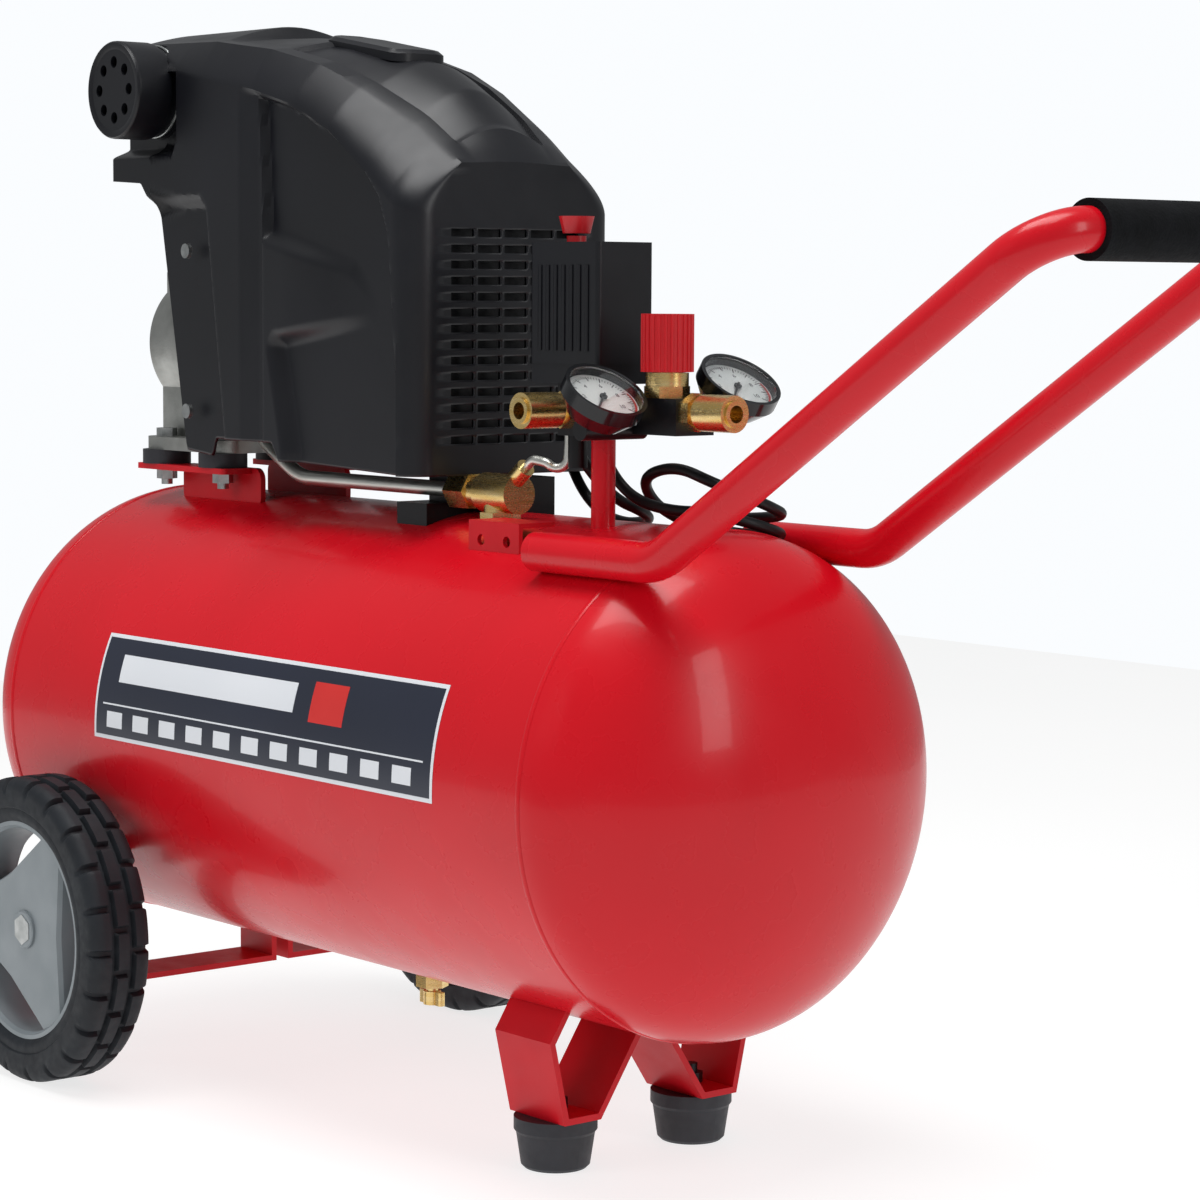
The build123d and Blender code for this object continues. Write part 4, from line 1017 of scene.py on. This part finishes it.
@dataclass
class Wheel:
    """One wheel: a solid tyre with a lugged tread and a three-armed hub.

    Attributes:
        side: -1 on the label side, 1 on the other.
        outer: The tyre's radius.
        rim: The hub's radius.
    """

    side: int
    outer: float = 104.0
    rim: float = 74.5
    near: float = 160.0
    far: float = 205.0
    along: float = -198.0

    @property
    def name(self) -> str:
        """The wheel's name in the frame."""
        return "left" if self.side < 0 else "right"

    def point(self, radius: float, turn: float, out: float) -> Vector:
        """A point by radius, turn in radians and distance from the inner face."""
        across = self.side * (self.near + out)
        return place(self.along + radius * math.cos(turn), across, self.outer + radius * math.sin(turn))

    def tread(self, turn: float, across: float) -> float:
        """How deep the tread is cut at a place, in millimetres."""
        lanes = ((-0.5, -0.18, 0.0), (-0.12, 0.12, 0.5), (0.18, 0.5, 0.0))
        cut = 4.0
        for low, high, shift in lanes:
            if low <= across <= high:
                phase = (turn / (2 * math.pi) * 22 + shift) % 1.0
                block = smooth_step(phase, 0.0, 0.05) * (1 - smooth_step(phase, 0.84, 0.9))
                rim = smooth_step(across, low, low + 0.03) if low > -0.5 else 1.0
                rim *= 1 - smooth_step(across, high - 0.03, high) if high < 0.5 else 1.0
                return cut * (1 - block * rim)
        return cut

    def tyre(self) -> None:
        """Makes the tyre with its blocks."""
        wide = self.far - self.near
        profile = [(self.rim, 4.0), (self.rim + 3, 1.6), (self.rim + 6, 1.0), (self.rim + 9, 1.4)]
        profile += [(self.rim + 10, 0.4), (self.outer - 15, 0.0)]
        shoulder = [(self.outer - 9 + 9 * math.sin(t), 9 - 9 * math.cos(t)) for t in
                    [math.radians(90 * k / 10) for k in range(11)]]
        crown = [(self.outer, 9 + (wide - 18) * k / 40) for k in range(1, 40)]
        profile += shoulder + crown
        profile += [(r, wide - o) for r, o in reversed(shoulder)]
        profile += [(r, wide - o) for r, o in reversed(profile[:6])]
        rings = []
        count = 440
        for radius, out in profile:
            ring = []
            for k in range(count):
                turn = 2 * math.pi * k / count
                share = smooth_step(radius, self.outer - 13.0, self.outer - 6.0)
                depth = self.tread(turn, out / wide - 0.5) * share
                ring.append(self.point(radius - depth, turn, out))
            rings.append(ring)
        rings.append(rings[0])
        tyre = ring_loft(
            f"lugged_tyre_{self.name}", rings, TYRE_RUBBER, f"wheel_{self.name}", 38.0, caps=False
        )
        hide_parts(f"tyre_{self.name}")

    def arms(self, reach: float, half: float, root: float) -> list[tuple[float, float]]:
        """The outline of the three arms, as (radius, turn) pairs.

        Args:
            reach: How far the arms go.
            half: Half an arm's width.
            root: The radius of the corner between two arms.

        Returns:
            The outline.
        """
        outline = []
        for k in range(3):
            middle = math.radians(60 + 120 * k)
            spread = math.asin(half / reach)
            outline += [(reach, middle - spread + spread * j / 3) for j in range(7)]
            outline.append((root, middle + math.radians(60)))
        return outline

    def hub(self) -> None:
        """Makes the rim ring, the arms with their sloping flanks, and the axle cap."""
        body, name = f"wheel_{self.name}", self.name
        ring = [
            (4.0, self.rim - 0.2), (41.0, self.rim - 0.2), (41.0, self.rim - 3), (38.5, self.rim - 5),
            (20.0, self.rim - 6.5), (10.0, self.rim - 6.5),
        ]
        centre, way = place(self.along, self.side * self.near, self.outer), Vector((0, self.side, 0))
        barrel = turned(f"hub_barrel_{name}", centre, way, ring, HUB_NYLON, body, 96, caps=False)
        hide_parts(f"wheel_rim_{name}")
        levels = ((9.0, 68.0, 21.0, 46.0), (34.0, 69.0, 14.5, 42.5), (37.0, 69.0, 12.5, 40.5))
        rings = [
            [self.point(r, t, out) for r, t in self.arms(reach, half, root)]
            for out, reach, half, root in levels
        ]
        ring_loft(f"hub_arms_{name}", rings, HUB_NYLON, body, 20.0)
        turned(
            f"hub_tube_{name}", centre, way,
            [(-8.0, 6.06), (-8.0, 16.5), (9.5, 16.5), (9.5, 6.06)], HUB_NYLON, body, 64, caps=False,
        )
        turned(
            f"hub_cap_{name}", centre, way,
            [(36.8, 13.0), (38.6, 13.0), (39.4, 12.2), (39.6, 8.0), (39.6, 0.0)],
            HUB_NYLON, body, 64, caps=False,
        )

    def build(self) -> None:
        """Makes the wheel."""
        self.tyre()
        self.hub()


@dataclass
class Gauge:
    """The dial of one pressure gauge, behind its lens.

    Attributes:
        name: The gauge's side.
        centre: The middle of its face in millimetres.
        tilt: How far the face leans towards the handle, in degrees.
        card_depth: How far below the rim the card lies.
        print_depth: How far below the rim the printing lies.
    """

    name: str
    centre: tuple[float, float, float]
    tilt: float = 35.0
    card_depth: float = 7.6
    print_depth: float = 6.95

    def point(self, radius: float, degrees: float, depth: float) -> Vector:
        """A point on the dial by radius, turn and depth below the rim."""
        lean = math.radians(self.tilt)
        way = Vector((math.sin(lean), 0, math.cos(lean)))
        right = Vector((0, 1, 0))
        up = way.cross(right)
        t = math.radians(degrees)
        return place(*self.centre) + MM * (
            right * radius * math.cos(t) + up * radius * math.sin(t) - way * depth
        )

    def arc(self, name: str, r0: float, r1: float, first: float, last: float, finish: Finish) -> None:
        """Makes a flat printed arc on the dial, 0.15 mm thick."""
        count = max(2, int(abs(last - first) / 6) + 1)
        rings = []
        for level in (self.print_depth, self.print_depth - 0.15):
            outer = [self.point(r1, first + (last - first) * k / count, level) for k in range(count + 1)]
            inner = [self.point(r0, first + (last - first) * k / count, level) for k in range(count, -1, -1)]
            rings.append(outer + inner)
        ring_loft(name, rings, finish)

    def build(self) -> None:
        """Makes the card, its scale, its red limit arc and its numbers."""
        face = self.point(0, 0, self.card_depth)
        way = (self.point(0, 0, 0) - self.point(0, 0, 1)).normalized()
        card = [(0, 1.2), (0, 23.2), (0.5, 23.2), (0.5, 1.2)]
        turned(f"dial_card_{self.name}", face, way, card, DIAL_CARD, caps=False)
        for k in range(11):
            angle = 225 - 27 * k
            self.arc(f"dial_mark_{self.name}_{k:02d}", 16.5, 20.5, angle - 0.9, angle + 0.9, DIAL_INK)
        for k in range(50):
            if k % 5:
                angle = 225 - 5.4 * k
                self.arc(f"dial_tick_{self.name}_{k:02d}", 18.6, 20.5, angle - 0.45, angle + 0.45, DIAL_INK)
        self.arc(f"dial_limit_{self.name}", 20.7, 22.0, -45, 9, DIAL_RED)
        for k in range(0, 11, 2):
            self.number(str(k), 225 - 27 * k)

    def number(self, text: str, degrees: float) -> None:
        """Prints one plain number of the scale."""
        data = bpy.data.curves.new(f"dial_number_{self.name}_{text}", "FONT")
        data.body = text
        data.size = 4.6 * MM
        data.align_x, data.align_y = "CENTER", "CENTER"
        data.extrude = 0.04 * MM
        piece = bpy.data.objects.new(data.name, data)
        spot = self.point(12.8, degrees, self.print_depth)
        right = Vector((0, 1, 0))
        way = (self.point(0, 0, 0) - self.point(0, 0, 1)).normalized()
        up = way.cross(right)
        piece.matrix_world = Matrix(
            [[right[i], up[i], way[i], spot[i]] for i in range(3)] + [[0, 0, 0, 1]]
        )
        bpy.context.scene.collection.objects.link(piece)
        dress(piece, DIAL_INK)
        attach(piece, "root")


def switch_ribs() -> None:
    """Makes the upright ribs moulded on the label side of the pressure switch's cover."""
    first, pitch, low, high = 165.5, 7.5, 502, 554
    for k in range(7):
        x = first + pitch * k
        rings = []
        for wide, y in ((1.6, -41.8), (1.6, -42.6), (0.9, -43.0)):
            corners = ((x - wide, low), (x + wide, low), (x + wide, high), (x - wide, high))
            rings.append([place(along, y, height) for along, height in corners])
        ring_loft(f"switch_rib_{k}", rings, SHROUD_ABS)


def dress_nodes(frame: dict) -> None:
    """Gives each carried-over part its finish.
    """
    for finish, names in NODE_FINISH.items():
        for name in names:
            dress(frame["nodes"][name], finish)


def main() -> None:
    """Builds the looks around the frame."""
    logging.basicConfig(level=logging.INFO, format="%(message)s")
    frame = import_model()
    Studio().build()
    Leads().build()
    dress_nodes(frame)
    Shroud().build()
    switch_ribs()
    Tank().build()
    for side in (-1, 1):
        Wheel(side).build()
    Gauge("left", (255.5, -63.5, 480.5)).build()
    Gauge("right", (276.0, 25.0, 486.0)).build()


if __name__ == "__main__":
    main()
